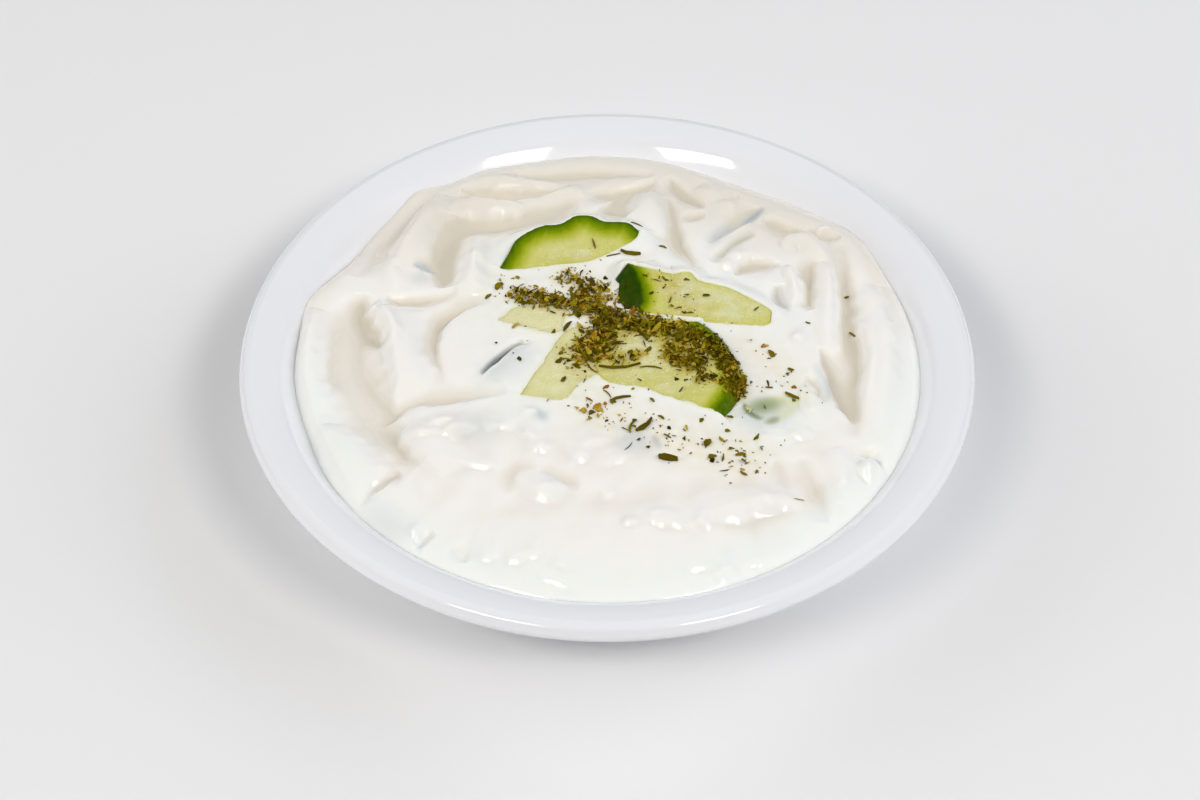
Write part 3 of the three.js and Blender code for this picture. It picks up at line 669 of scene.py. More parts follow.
def make_slice(name, finish):
    cut = SLICES[name]
    outline, is_rind = slice_outline(cut)
    away = np.roll(outline, -1, axis=0) - np.roll(outline, 1, axis=0)
    away = np.stack([away[:, 1], -away[:, 0]], axis=1) / np.linalg.norm(away, axis=1)[:, None]
    below = outline + away * (cut["bevel"] * is_rind)[:, None]
    face = face_height(cut, *outline.T)
    points = np.vstack([np.column_stack([outline, face]),
                        np.column_stack([below, face - cut["thickness"]])])
    count = len(outline)
    faces = [tuple(range(count)), tuple(range(2 * count - 1, count - 1, -1))]
    faces += [(i, i + count, (i + 1) % count + count, (i + 1) % count) for i in range(count)]
    piece = make_mesh(name + "_slice", points, faces)

    remesh = piece.modifiers.new("remesh", "REMESH")
    remesh.mode, remesh.voxel_size, remesh.use_smooth_shade = "VOXEL", VOXEL * MM, True
    even = piece.modifiers.new("even", "SMOOTH")
    even.factor, even.iterations = VOXEL_SMOOTHING
    settle(piece)

    x, y, _ = vertex_points(piece).T
    from_rind = nearest_on_path(outline[is_rind > 0.5], x, y)[0]
    beyond = np.maximum(outside_by(outline, x, y), 0)
    if cut["bevel"]:
        from_rind = SKIN_THICKNESS + np.where(beyond > 0, -beyond, from_rind)
    else:
        from_rind += SKINLESS_START
    from_cut = nearest_on_path(outline[is_rind < 0.5], x, y)[0]
    store(piece, "from_rind", np.clip(from_rind / cut["green"], cut["paler"], 1))
    store(piece, "cut_edge", np.exp(-from_cut / CUT_EDGE_WIDTH))
    store(piece, "stain", stained(x, y))
    store(piece, "veil", np.full(len(x), cut["veil"]))
    piece.data.materials.append(finish)
    return piece


# ------------------------------------------------------------------ yogurt

def dip_edge(angle):
    """Radius at which the yogurt meets the dish's wall."""
    return with_bells(DIP_RADIUS, EDGE_SWELLS, angle)


def dip_roll(angle):
    """How far in from its edge the yogurt starts to roll down; further where it slumped."""
    return with_bells(DIP_ROLL, EDGE_SLUMPS, angle)


FOLD_DEPTH = 1.65            # mm, of a fold with a height of 1
FOLD_TAPER = 0.7             # below 1 a fold keeps its height almost to its ends
FOLD_TIP = 0.5               # how wide a fold still is at its ends, of its full width
CREASE_ROUND = 0.2           # how round a furrow's bottom is, in its half widths
FURROW_REACH = 2.8           # a furrow's rounded shoulders, in half widths of its bottom
RIDGE_REACH = 1.5
PATH_STEPS = 14              # steps along a fold
MARK_STEPS = 8               # steps along a mark below the surface, and along a bow of herbs
# How the folds and the wet edges stray from their smooth paths, along x and along y, as the
# height in mm, the size in mm and the seed of random swells
FOLD_STRAYING = [(0.7, 14, 1), (0.2, 4, 8)], [(0.7, 14, 2), (0.2, 4, 9)]
WET_EDGE_STRAYING = [(0.1, 3.2, 21)], [(0.1, 3.2, 22)]
RIPPLES = [(0.12, 9, 5), (0.03, 3.5, 6)]


def astray(x, y, straying):
    """The points, shifted by random swells."""
    return with_waves(x, straying[0], x, y), with_waves(y, straying[1], x, y)


def stroke(path, x, y, half_width, lean=0.0, ends=1.0):
    """How far points are from a stroke, 0 on it to 1 at its half width, and its taper there."""
    away, taper = np.ones(x.shape), np.zeros(x.shape)
    reach = half_width * (1 + abs(lean))
    near = ((x > path[:, 0].min() - reach) & (x < path[:, 0].max() + reach)
            & (y > path[:, 1].min() - reach) & (y < path[:, 1].max() + reach))
    distance, share, side = nearest_on_path(path, x[near], y[near])
    taper[near] = np.clip(4 * share * (1 - share), 0, 1) ** FOLD_TAPER
    width = half_width * (ends + (1 - ends) * taper[near]) * (1 - lean * side)
    away[near] = np.minimum(distance / width, 1)
    return away, taper


def crease(away):
    """A furrow's section: a sharp bottom, just rounded, between round shoulders."""
    rounded = np.sqrt(away ** 2 + CREASE_ROUND ** 2)
    return (np.maximum(1 - rounded, 0) / (1 - CREASE_ROUND)) ** 3


def fold_relief(x, y):
    """Ridges with round crests, and furrows as sharp creases between round shoulders."""
    relief = np.zeros(x.shape)
    x, y = astray(x, y, FOLD_STRAYING)
    for *run, height, width, lean in FOLDS:
        reach = width * (RIDGE_REACH if height > 0 else FURROW_REACH)
        away, taper = stroke(bow(run, PATH_STEPS), x, y, reach, lean, FOLD_TIP)
        section = (1 - away ** 2) ** 2 if height > 0 else crease(away)
        relief += FOLD_DEPTH * height * section * taper
    return relief


def wet_relief(x, y):
    """Small waves that rise gently from behind and break off to the front."""
    relief = np.zeros(x.shape)
    x, y = astray(x, y, WET_EDGE_STRAYING)
    for (x0, y0, length, _, width), turn, slope in zip(WET_EDGES, *fronts):
        near = np.hypot(x - x0, y - y0) < length + WET_EDGE_REACH * width
        dx, dy = x[near] - x0, y[near] - y0
        along = dx * math.cos(turn) + dy * math.sin(turn)
        behind = dy * math.cos(turn) - dx * math.sin(turn)
        behind -= WET_EDGE_BOW / (length + 1) * along ** 2
        foot, top = (np.hypot(behind + end * width / 2, WET_EDGE_ROUND * width)
                     for end in (1, -1))
        front = 0.5 + (foot - top) / (2 * width)
        back = np.exp(-(np.maximum(behind - width / 2, 0) / (WET_EDGE_BACK * width)) ** 2)
        ends = np.exp(-np.abs(2 * along / (length + WET_EDGE_ENDS * width)) ** 3)
        relief[near] += slope * width * front * back * ends
    return relief


def shown_below(marks, x, y):
    """The strongest of the marks at each point."""
    shown = np.zeros(x.shape)
    for *run, width, strength in marks:
        away, taper = stroke(bow(run, MARK_STEPS), x, y, width * MARK_FADE, ends=MARK_WIDTH)
        shown = np.maximum(
            shown, strength * (1 - away ** 2) ** 2 * (MARK_TIP + (1 - MARK_TIP) * taper))
    return shown


LAP_REACH = 4.5              # mm round a slice in which the yogurt's surface follows it
LAP_EDGE = 0.5               # mm over which the yogurt dips from its lap to under the slice
LAP_START = -0.2             # mm in from the cut edge that the yogurt reaches without any lap
RAGS = [(0.4, 5, 11), (0.3, 1.8, 12)]   # what makes its lap ragged
COVERED = (0.3, 0.7)         # where between rind and cut edge it starts to cover the edge
RIND_END = 0.05              # the share of the rind at each end that it covers as well
SLICE_BED = 1.6              # mm below the face that it passes under the slice
RIND_GAP = 0.8               # mm that it may sink below the bare part of a rind
LEAST_FILM = 0.03            # mm that it lies above a covered edge at least
FILM_DEPTH = 0.3             # mm of yogurt through which a slice's colour shows
FILM_EDGE = (-0.7, 0.3)      # mm in from the outline over which that colour starts


def near_slice(outline, x, y):
    """Which points lie in or round the slice, as far out as the yogurt follows it."""
    low, high = outline.min(axis=0) - LAP_REACH, outline.max(axis=0) + LAP_REACH
    return (x > low[0]) & (x < high[0]) & (y > low[1]) & (y < high[1])


def lap_over_slices(x, y, height):
    """Lets the yogurt lap over the cut edges, stay below the rinds and pass under the slices."""
    height = height.copy()
    for cut in SLICES.values():
        outline, is_rind = slice_outline(cut)
        near = near_slice(outline, x, y)
        here, px, py = height[near], x[near], y[near]
        face = face_height(cut, px, py)
        inside = -outside_by(outline, px, py)
        to_rind, along, _ = nearest_on_path(outline[is_rind > 0.5], px, py)
        to_cut = nearest_on_path(outline[is_rind < 0.5], px, py)[0]
        cover = smooth_step(*COVERED, to_rind / (to_rind + to_cut + 1e-6))
        rind = smooth_step(0, RIND_END, along) * smooth_step(1, 1 - RIND_END, along)
        cover = np.maximum(cover, 1 - rind)
        inside += cut["bevel"] * cut["bare"] / cut["thickness"] * (1 - cover)
        low = -(cut["bare"] + RIND_GAP) * (1 - cover) + LEAST_FILM * cover
        high = -cut["bare"] * (1 - cover) + cut["film"] * cover
        bank = np.clip(here, face + low, face + high)
        here = here + smooth_step(-LAP_REACH, -0.3, inside) * (bank - here)
        ragged = np.maximum(1 + 2 * with_waves(0, RAGS, px, py), 0.5)
        lap = LAP_START + cut["lap"] * ragged * cover
        under = smooth_step(lap, lap + LAP_EDGE, inside)
        height[near] = here + under * (face - SLICE_BED - cut["bare"] - here)
    return height


def film_over_slices(x, y, height):
    """How thin the yogurt lies over a slice's flesh, 0 for none or thick to 1."""
    thin = np.zeros(x.shape)
    for cut in SLICES.values():
        outline = slice_outline(cut)[0]
        near = near_slice(outline, x, y)
        inside = -outside_by(outline, x[near], y[near])
        above = height[near] - face_height(cut, x[near], y[near])
        thin[near] = np.maximum(thin[near], np.exp(-np.maximum(above, 0) / FILM_DEPTH)
                                * smooth_step(*FILM_EDGE, inside))
    return thin


def yogurt_ground(x, y, waves=0.0):
    """The surface with its folds, and these waves on it, rolling down to the wall."""
    r, angle = np.hypot(x, y), np.arctan2(y, x)
    edge, roll = dip_edge(angle), dip_roll(angle)
    meets = well_height(edge) + DIP_SKIN
    level = DIP_EDGE_LEVEL + DIP_DOME * (1 - (r / DIP_RADIUS) ** 2)
    relief = with_waves(fold_relief(x, y) + waves, RIPPLES, x, y)
    down = np.clip((r - edge) / roll + 1, 0, 1)
    height = meets + (level + relief - meets) * (1 - down ** 2) ** EDGE_SOFTNESS
    return np.maximum(height, well_height(r) + DIP_SKIN)


def lean_of_fronts():
    """The turn and slope of each wet edge that make it shine on the ground it stands on."""
    x, y, side = np.array([(row[0], row[1], row[3]) for row in WET_EDGES]).T
    step = 0.2
    rise_x = (yogurt_ground(x + step, y) - yogurt_ground(x - step, y)) / (2 * step)
    rise_y = (yogurt_ground(x, y + step) - yogurt_ground(x, y - step)) / (2 * step)
    turn = side * WET_EDGE_TURN * DEGREE
    missing_x = -WET_EDGE_SLOPE * np.sin(turn) - rise_x
    missing_y = WET_EDGE_SLOPE * np.cos(turn) - rise_y
    return np.arctan2(-missing_x, missing_y), np.hypot(missing_x, missing_y)


fronts = lean_of_fronts()


def yogurt_height(x, y):
    """The surface of the yogurt, with all that lies in it and on it."""
    return lap_over_slices(x, y, yogurt_ground(x, y, wet_relief(x, y)))


def disc(rings, radius_at):
    """Points and triangles of a disc of rings, six more points in each."""
    points, faces = [(0.0, 0.0)], []
    start = [0]
    for k in range(1, rings + 1):
        start.append(len(points))
        angle = np.arange(6 * k) / (6 * k) * 2 * math.pi
        r = radius_at(angle) * k / rings
        points += list(zip(r * np.cos(angle), r * np.sin(angle)))
        for sector in range(6):
            for i in range(k):
                o0 = start[k] + sector * k + i
                o1 = start[k] + (sector * k + i + 1) % (6 * k)
                inner = max(6 * (k - 1), 1)
                n0 = start[k - 1] + (sector * (k - 1) + i) % inner
                faces.append((o0, o1, n0))
                if i < k - 1:
                    n1 = start[k - 1] + (sector * (k - 1) + i + 1) % inner
                    faces.append((o1, n1, n0))
    return np.array(points), faces


GRID_STEP = 0.7              # mm, of the grid that the painted shade is worked out on
GRID_REACH = 66              # mm that it reaches out from the middle
GRID_FLOOR = 27              # mm, the least height it is taken to have
BLURS = [(1.3, 0.3), (3.2, 0.6), (7.0, 0.3)]    # spread in mm, and share in the depth
PAINTED_SHADE_PER_MM = 0.85            # painted shade of a spot 1 mm deep
# Where along the way out to the edge, as shares of it, the painted shade of low spots ends, the
# back's
#  painted shade starts and the far rim's starts, and where the last two do from front to back, in
#  mm
HOLLOW_END, BACK_START, FAR_RIM_START = (0.86, 0.96), (0.5, 0.8), (0.88, 0.97)
BACK_Y, FAR_RIM_Y = (15, 40), (0, 30)
BACK_SHADE, FAR_RIM_SHADE = 0.5, 0.5


def painted_yogurt_shade(flat):
    """Painted shade, 0 to 1: darker where a point lies below the surface round it, over the back
    and along the far rim.
    """
    side = np.arange(-GRID_REACH, GRID_REACH + GRID_STEP, GRID_STEP)
    x, y = (axis.ravel() for axis in np.meshgrid(side, side))
    ground = np.maximum(yogurt_height(x, y), GRID_FLOOR).reshape(len(side), len(side))
    depth = np.zeros(ground.shape)
    for spread, share in BLURS:
        reach = int(3 * spread / GRID_STEP)
        kernel = np.exp(-0.5 * (np.arange(-reach, reach + 1) * GRID_STEP / spread) ** 2)
        kernel /= kernel.sum()
        soft = np.pad(ground, reach, mode="edge")
        for axis in (1, 0):
            soft = np.apply_along_axis(np.convolve, axis, soft, kernel, "valid")
        depth += share * (soft - ground)
    column, row = ((flat + GRID_REACH) / GRID_STEP).T
    i, j = (axis.astype(int).clip(0, len(side) - 2) for axis in (row, column))
    v, u = row - i, column - j
    between = (depth[i, j] * (1 - u) * (1 - v) + depth[i, j + 1] * u * (1 - v)
               + depth[i + 1, j] * (1 - u) * v + depth[i + 1, j + 1] * u * v)
    share = np.hypot(*flat.T) / dip_edge(np.arctan2(flat[:, 1], flat[:, 0]))
    # painted shade in low spots, then over the back and along the far rim
    hollow = np.clip(PAINTED_SHADE_PER_MM * between, 0, 1) * (1 - smooth_step(*HOLLOW_END, share))
    hollow += BACK_SHADE * smooth_step(*BACK_START, share) * smooth_step(*BACK_Y, flat[:, 1])
    far_rim = FAR_RIM_SHADE * smooth_step(*FAR_RIM_START, share)
    far_rim = far_rim * smooth_step(*FAR_RIM_Y, flat[:, 1])
    return np.clip(np.maximum(hollow, far_rim), 0, 1)


PATCHES = [(0.5, 24, 9)]
PATCH_PALENESS, SLICE_PALENESS = 0.35, 0.7
SLICE_WETNESS = 9            # mm round the slices that their juice thins
LIT_RIM_START = (0.8, 0.98)     # shares of the way out to the edge over which painted light whitens the front rim
# mm from back to front over which that painted light comes in
LIT_RIM_Y = (20, -20)


def paleness_and_rim_light(x, y):
    """Where the yogurt is whiter: thinned by the wet slices, in random patches, and painted light
    along the front of its rim.
    """
    share = np.hypot(x, y) / dip_edge(np.arctan2(y, x))
    from_slices = np.min([np.maximum(outside_by(slice_outline(cut)[0], x, y), 0)
                          for cut in SLICES.values()], axis=0)
    # painted light: the front of the rim is whiter
    rim = smooth_step(*LIT_RIM_START, share) * smooth_step(*LIT_RIM_Y, y)
    return np.clip(rim + SLICE_PALENESS * np.exp(-(from_slices / SLICE_WETNESS) ** 2)
                   + PATCH_PALENESS * with_waves(0.5, PATCHES, x, y), 0, 1)


def refined(flat, faces, tolerance, rim):
    """Halves the edges over which the surface bends by more than the tolerance, in mm.

    A triangle with one edge halved becomes two, with two halved three, and with all three
    halved four. The points in rim go round the outside, where no edge is halved.
    """
    sides = np.stack([faces, np.roll(faces, -1, axis=1)], axis=2)
    edges, place = np.unique(np.sort(sides.reshape(-1, 2), axis=1), axis=0, return_inverse=True)
    middles = flat[edges].mean(axis=1)
    height = yogurt_height(*flat.T)
    bend = np.abs(yogurt_height(*middles.T) - height[edges].mean(axis=1))
    outer = (edges >= rim.start) & (edges < rim.stop)
    split = (bend > tolerance) & ~outer.all(axis=1)
    added = np.where(split, len(flat) + np.cumsum(split) - 1, -1)
    middle = added[place].reshape(-1, 3)
    whole, every = np.all(middle < 0, axis=1), np.all(middle >= 0, axis=1)
    (a, b, c), (ab, bc, ca) = faces[every].T, middle[every].T
    made = [faces[whole]] + [np.column_stack(corners) for corners in (
        (a, ab, ca), (ab, b, bc), (ca, bc, c), (ab, bc, ca))]
    for turn in range(3):
        corner, cut = np.roll(faces, -turn, axis=1), np.roll(middle, -turn, axis=1)
        one = (cut[:, 0] >= 0) & (cut[:, 1] < 0) & (cut[:, 2] < 0)
        (a, b, c), ab = corner[one].T, cut[one, 0]
        made += [np.column_stack((a, ab, c)), np.column_stack((ab, b, c))]
        two = (cut[:, 0] >= 0) & (cut[:, 1] >= 0) & (cut[:, 2] < 0)
        (a, b, c), ab, bc = corner[two].T, cut[two, 0], cut[two, 1]
        made += [np.column_stack(corners) for corners in ((ab, b, bc), (a, ab, bc), (a, bc, c))]
    return np.vstack([flat, middles[split]]), np.vstack(made)


UNDERSIDE = (1.005, 0.97, 0.9, 0.75, 0.5, 0.2)  # radii of its rings, in shares of the edge
DIP_BITE = 0.5               # mm it lies below the glaze, so that no gap shows
FINENESS = (0.03, 0.03, 0.02)    # mm the surface may bend over an edge, round by round


def make_yogurt(finish):
    flat, faces = disc(DIP_RINGS, dip_edge)
    faces = np.array(faces)
    rim = 6 * DIP_RINGS
    first = len(flat) - rim
    edge_ring = flat[first:]
    for tolerance in FINENESS:
        flat, faces = refined(flat, faces, tolerance, range(first, first + rim))
    x, y = flat.T
    height = yogurt_height(x, y)
    points, faces = [np.column_stack([flat, height])], faces.tolist()
    previous, total = first, len(flat)
    for share in UNDERSIDE:
        ring = edge_ring * share
        sunk = well_height(np.hypot(*(edge_ring * min(share, 1)).T)) - DIP_BITE
        points.append(np.column_stack([ring, sunk]))
        faces += [(previous + i, total + i, total + (i + 1) % rim, previous + (i + 1) % rim)
                  for i in range(rim)]
        previous, total = total, total + rim
    faces.append(tuple(range(total - 1, total - rim - 1, -1)))
    yogurt = make_mesh("yogurt", np.vstack(points), faces)
    # The first mark is painted shade, the second is whiter by the slices and in patches, and
    # painted light on the front rim
    marks = {"hollow": painted_yogurt_shade(flat), "pale": paleness_and_rim_light(x, y),
             "film": film_over_slices(x, y, height), "stain": stained(x, y),
             "flesh_below": shown_below(PALE_FLESH_BELOW, x, y),
             "green_below": shown_below(GREEN_FLESH_BELOW, x, y),
             "skin_below": shown_below(SKIN_BELOW, x, y)}
    for name, values in marks.items():
        store(yogurt, name, np.concatenate([values, np.zeros(total - len(flat))]))
    yogurt.data.materials.append(finish)
    return yogurt


# ------------------------------------------------------------------ dried herbs

# Where the pinch of herbs fell: a bow (start, middle, end), its spread in mm, and how many
# flakes fell on a square millimetre
PINCHES = [
    (-18.4, 14.6, -12.8, 12.6, -5.5, 10.2, 2.2, 1.7),
    (-8, 19.6, -4, 16.6, -0.4, 13.8, 2.7, 1.1),
    (-5, 12.5, -1.4, 9.0, 3.5, 5.6, 2.6, 2.2),
    (0.6, 7, -1.4, 1.4, -3.8, -3.4, 3.2, 2.2),
    (3.5, 5.6, 12.4, 2.6, 19.8, -2.0, 2.6, 2.2),
    (19.6, -2, 24, -6.6, 25.8, -13.7, 1.9, 2.4),
    (13.1, -4.6, 15.7, -6.7, 18.7, -8.1, 1.9, 1.4),
    (12.5, -1.5, 15.5, -3.6, 18.5, -6, 1.8, 1.0),
    (18.8, -11, 23, -11.8, 26.4, -13, 1.5, 1.0),
    (-3.6, -3.6, 1, -5, 6, -4.5, 1.8, 0.7),
    (-9, -1, -7.5, -7, -4, -9, 2.0, 0.2),
    (10, 18, 14, 14, 16, 9, 3.0, 0.12),
    (-3.4, -15.3, 6.5, -23.6, 27, -30.4, 4.5, 0.14),
    (28, 0.3, 35, -7, 38.7, -13.9, 3.5, 0.08),
]
PINCH_FADE = 1.2             # how fast they thin out, over their spread
FLUNG, FLUNG_SPREAD = 0.014, 9      # the share that fell wider, and its spread in mm
STAINING = 0.45              # below 1 even a few herbs stain
STAIN_PATCHES = [(0.5, 3, 15)]


def pinched(x, y):
    """How thick the herbs fell at each point."""
    pinch = np.zeros(x.shape)
    for *run, spread, thickness in PINCHES:
        away = nearest_on_path(bow(run, MARK_STEPS), x, y)[0]
        pinch = np.maximum(pinch, thickness * np.exp(-(away / spread) ** 2 * PINCH_FADE))
        pinch = np.maximum(pinch, FLUNG * thickness * np.exp(-(away / FLUNG_SPREAD) ** 2))
    return pinch


def stained(x, y):
    """How strongly the herbs have stained what they lie on, 0 to 1."""
    return np.clip(pinched(x, y) ** STAINING * with_waves(1, STAIN_PATCHES, x, y), 0, 1)


BED_STEP = 0.5               # mm, of the surface that the herbs are strewn on
BED = (-45, 60), (-42, 44)   # how far it reaches along x and y
HERB_SEED = 27

# Bits that lie singly: x, y, length, width, thickness, degrees, tint (0 dark brown to 1 golden)
STRAYS = [
    (2.6, -7.8, 8.4, 0.75, 0.7, 2, 0.15), (8.9, -7.7, 4.4, 0.35, 0.4, -8, 0.3),
    (2.6, -15.6, 4.2, 0.7, 0.6, 12, 0.2), (0.2, -14.4, 2.6, 0.35, 0.3, -52, 0.2),
    (7.7, -23.1, 4.6, 1.05, 0.9, 48, 0.12), (4.6, -23.4, 3.8, 0.55, 0.5, 78, 0.6),
    (11.9, -31.6, 3.8, 1.5, 1.2, -10, 0.05), (5, 26.4, 4.2, 1.0, 0.9, -3, 0.1),
    (1.4, 25.9, 3.0, 0.35, 0.3, 14, 0.2), (-2.7, 28.8, 2.6, 0.4, 0.35, 105, 0.15),
    (6.5, 35.2, 2.6, 0.4, 0.3, -14, 0.15), (11.9, 30, 1.6, 0.6, 0.3, -8, 0.3),
    (-22.5, 17.4, 2.3, 1.7, 0.25, 55, 0.55), (-24.7, 14.4, 1.5, 0.9, 0.2, 40, 0.5),
    (-17.3, 11.9, 1.7, 1.1, 0.4, -10, 0.02), (-8.2, 4.6, 3.2, 1.0, 0.3, 62, 0.1),
    (32.2, -0.3, 1.6, 0.9, 0.4, 20, 1.0), (37, -14.4, 3.2, 0.9, 0.6, -34, 0.35),
    (32.6, -12, 1.5, 0.5, 0.3, -4, 0.35), (37.2, -6.8, 1.3, 0.8, 0.3, -15, 0.5),
    (-8.7, -10.4, 1.5, 0.9, 0.3, 60, 0.3), (-6.1, -6.9, 1.6, 1.0, 0.4, -50, 0.15),
    (-3.3, -7.6, 3.6, 0.4, 0.35, -52, 0.3), (1.2, -16.6, 1.1, 0.9, 0.5, 0, 0.15),
    (-1.9, -17.8, 1.8, 1.5, 0.6, 50, 0.9), (-4.6, -19, 1.2, 1.1, 0.5, 80, 0.9),
    (26.2, -30.2, 2.0, 0.9, 0.6, 8, 0.3), (19.8, -27.2, 1.9, 1.3, 0.7, 60, 0.2),
    (22.6, -26.4, 1.7, 0.7, 0.4, -50, 0.55), (20.6, -30.8, 1.6, 1.0, 0.5, 20, 0.25),
    (26.6, -35, 1.5, 0.7, 0.4, -34, 0.4), (24.4, -20.4, 1.3, 0.6, 0.4, -20, 0.5),
    (50.6, 5.6, 2.2, 0.7, 0.4, -62, 0.3), (50.2, 17, 1.1, 0.6, 0.3, 30, 0.3),
    (10.8, -20.6, 1.5, 0.6, 0.3, -40, 0.6), (9, -16.6, 1.2, 0.6, 0.4, -50, 0.4),
    (16.6, 17.2, 1.1, 0.7, 0.3, 0, 0.3), (20.6, 13, 1.4, 0.9, 0.3, 10, 0.25),
    (41.4, 7, 1.0, 0.5, 0.3, -15, 0.1), (7.4, 1.2, 3.6, 0.9, 0.6, -58, 0.1),
]

TINTS = [
    (0.0, colour(52, 40, 1)), (0.16, colour(80, 66, 2)), (0.32, colour(94, 82, 2)),
    (0.48, colour(124, 106, 6)), (0.62, colour(94, 88, 3)), (0.78, colour(158, 138, 20)),
    (0.92, colour(196, 172, 60)), (1.0, colour(150, 94, 16)),
]


def herb_finish():
    finish = Finish("dried_herb", Roughness=0.6, Specular_IOR_Level=0.06)
    mottle = 0.16 * (finish.noise(0.5) - 0.5)
    swathes = 0.7 * (finish.noise(7, detail=1) - 0.5)
    finish.feed("Base Color", finish.ramp(finish.attribute("tint") + mottle + swathes, TINTS))
    finish.relief(finish.noise(0.25, detail=1), 0.08)
    return finish.material


BIT_SIDES = 6
BIT_STATIONS = (-0.5, -0.22, 0.16, 0.5)     # where a bit's sections are, in lengths
BIT_WIDTHS = np.array([0.5, 1.0, 0.92, 0.4])
# How uneven a bit is: its widths, each side's reach, how far its ends bend (in lengths), how
# far its edges curl up and how far its corners are off (both in widths)
BIT_WIDENING, BIT_REACH, BIT_BEND = (0.8, 1.15), (0.85, 1.12), (-0.12, 0.12)
BIT_CURL, BIT_OFF = (0, 0.25), (-0.08, 0.08)


def herb_bit(random, length, width, thickness):
    """A crumpled bit of leaf or stalk along x, of a few dozen faces."""
    widths = BIT_WIDTHS * random.uniform(*BIT_WIDENING, len(BIT_WIDTHS))
    bend = random.uniform(*BIT_BEND) * length
    curl = random.uniform(*BIT_CURL) * width
    turns = np.arange(BIT_SIDES) / BIT_SIDES * 2 * math.pi
    points = []
    for along, wide in zip(BIT_STATIONS, widths):
        reach = random.uniform(*BIT_REACH, BIT_SIDES)
        across = np.cos(turns) * reach * wide * width / 2
        up = np.sin(turns) * reach * thickness / 2
        x = along * length + random.uniform(*BIT_OFF, BIT_SIDES) * width
        points += list(zip(x, across + bend * (along * 2) ** 2,
                           up + curl * (across * 2 / width) ** 2))
    faces = [(i + j, i + BIT_SIDES + j, i + BIT_SIDES + (j + 1) % BIT_SIDES,
              i + (j + 1) % BIT_SIDES)
             for i in range(0, len(points) - BIT_SIDES, BIT_SIDES) for j in range(BIT_SIDES)]
    faces += [tuple(range(BIT_SIDES)),
              tuple(range(len(points) - 1, len(points) - BIT_SIDES - 1, -1))]
    return np.array(points), faces


def make_bed():
    """The surface the herbs lie on, with how thick they fell stored as "pinch"."""
    xs, ys = (np.arange(*reach, BED_STEP) for reach in BED)
    x, y = (side.ravel() for side in np.meshgrid(xs, ys))
    height = yogurt_height(x, y)
    for cut in SLICES.values():
        beyond = np.maximum(outside_by(slice_outline(cut)[0], x, y), 0)
        side = face_height(cut, x, y) - cut["thickness"] * beyond / max(cut["bevel"], 0.1)
        height = np.maximum(height, np.where(beyond < cut["bevel"] + 0.1, side, -1))
    columns = len(xs)
    faces = [(k, k + 1, k + columns + 1, k + columns)
             for k in range(columns * (len(ys) - 1)) if (k + 1) % columns]
    bed = make_mesh("herb_bed", np.column_stack([x, y, height]), faces)
    store(bed, "pinch", pinched(x, y))
    return bed


# What the strewing is told: what it strews on, the shapes, how many of them fall on a square
# millimetre where the pinch is 1, their least and greatest size, how high they pile up in m,
# how far they tilt in radians, the seed of its random draws, and the material
STREWING_INPUTS = {
    "Surface": "Geometry", "Shapes": "Collection", "Thickness": "Float", "Smallest": "Vector",
    "Largest": "Vector", "Pile": "Float", "Tilt": "Float", "Seed": "Int", "Finish": "Material",
}
PER_SQUARE_MM = 1 / MM ** 2
# By kind of random value: the inputs for the least and the greatest, and the output
RANDOM_SOCKETS = {"FLOAT": (2, 3, 1), "FLOAT_VECTOR": (0, 1, 0), "INT": (4, 5, 2)}


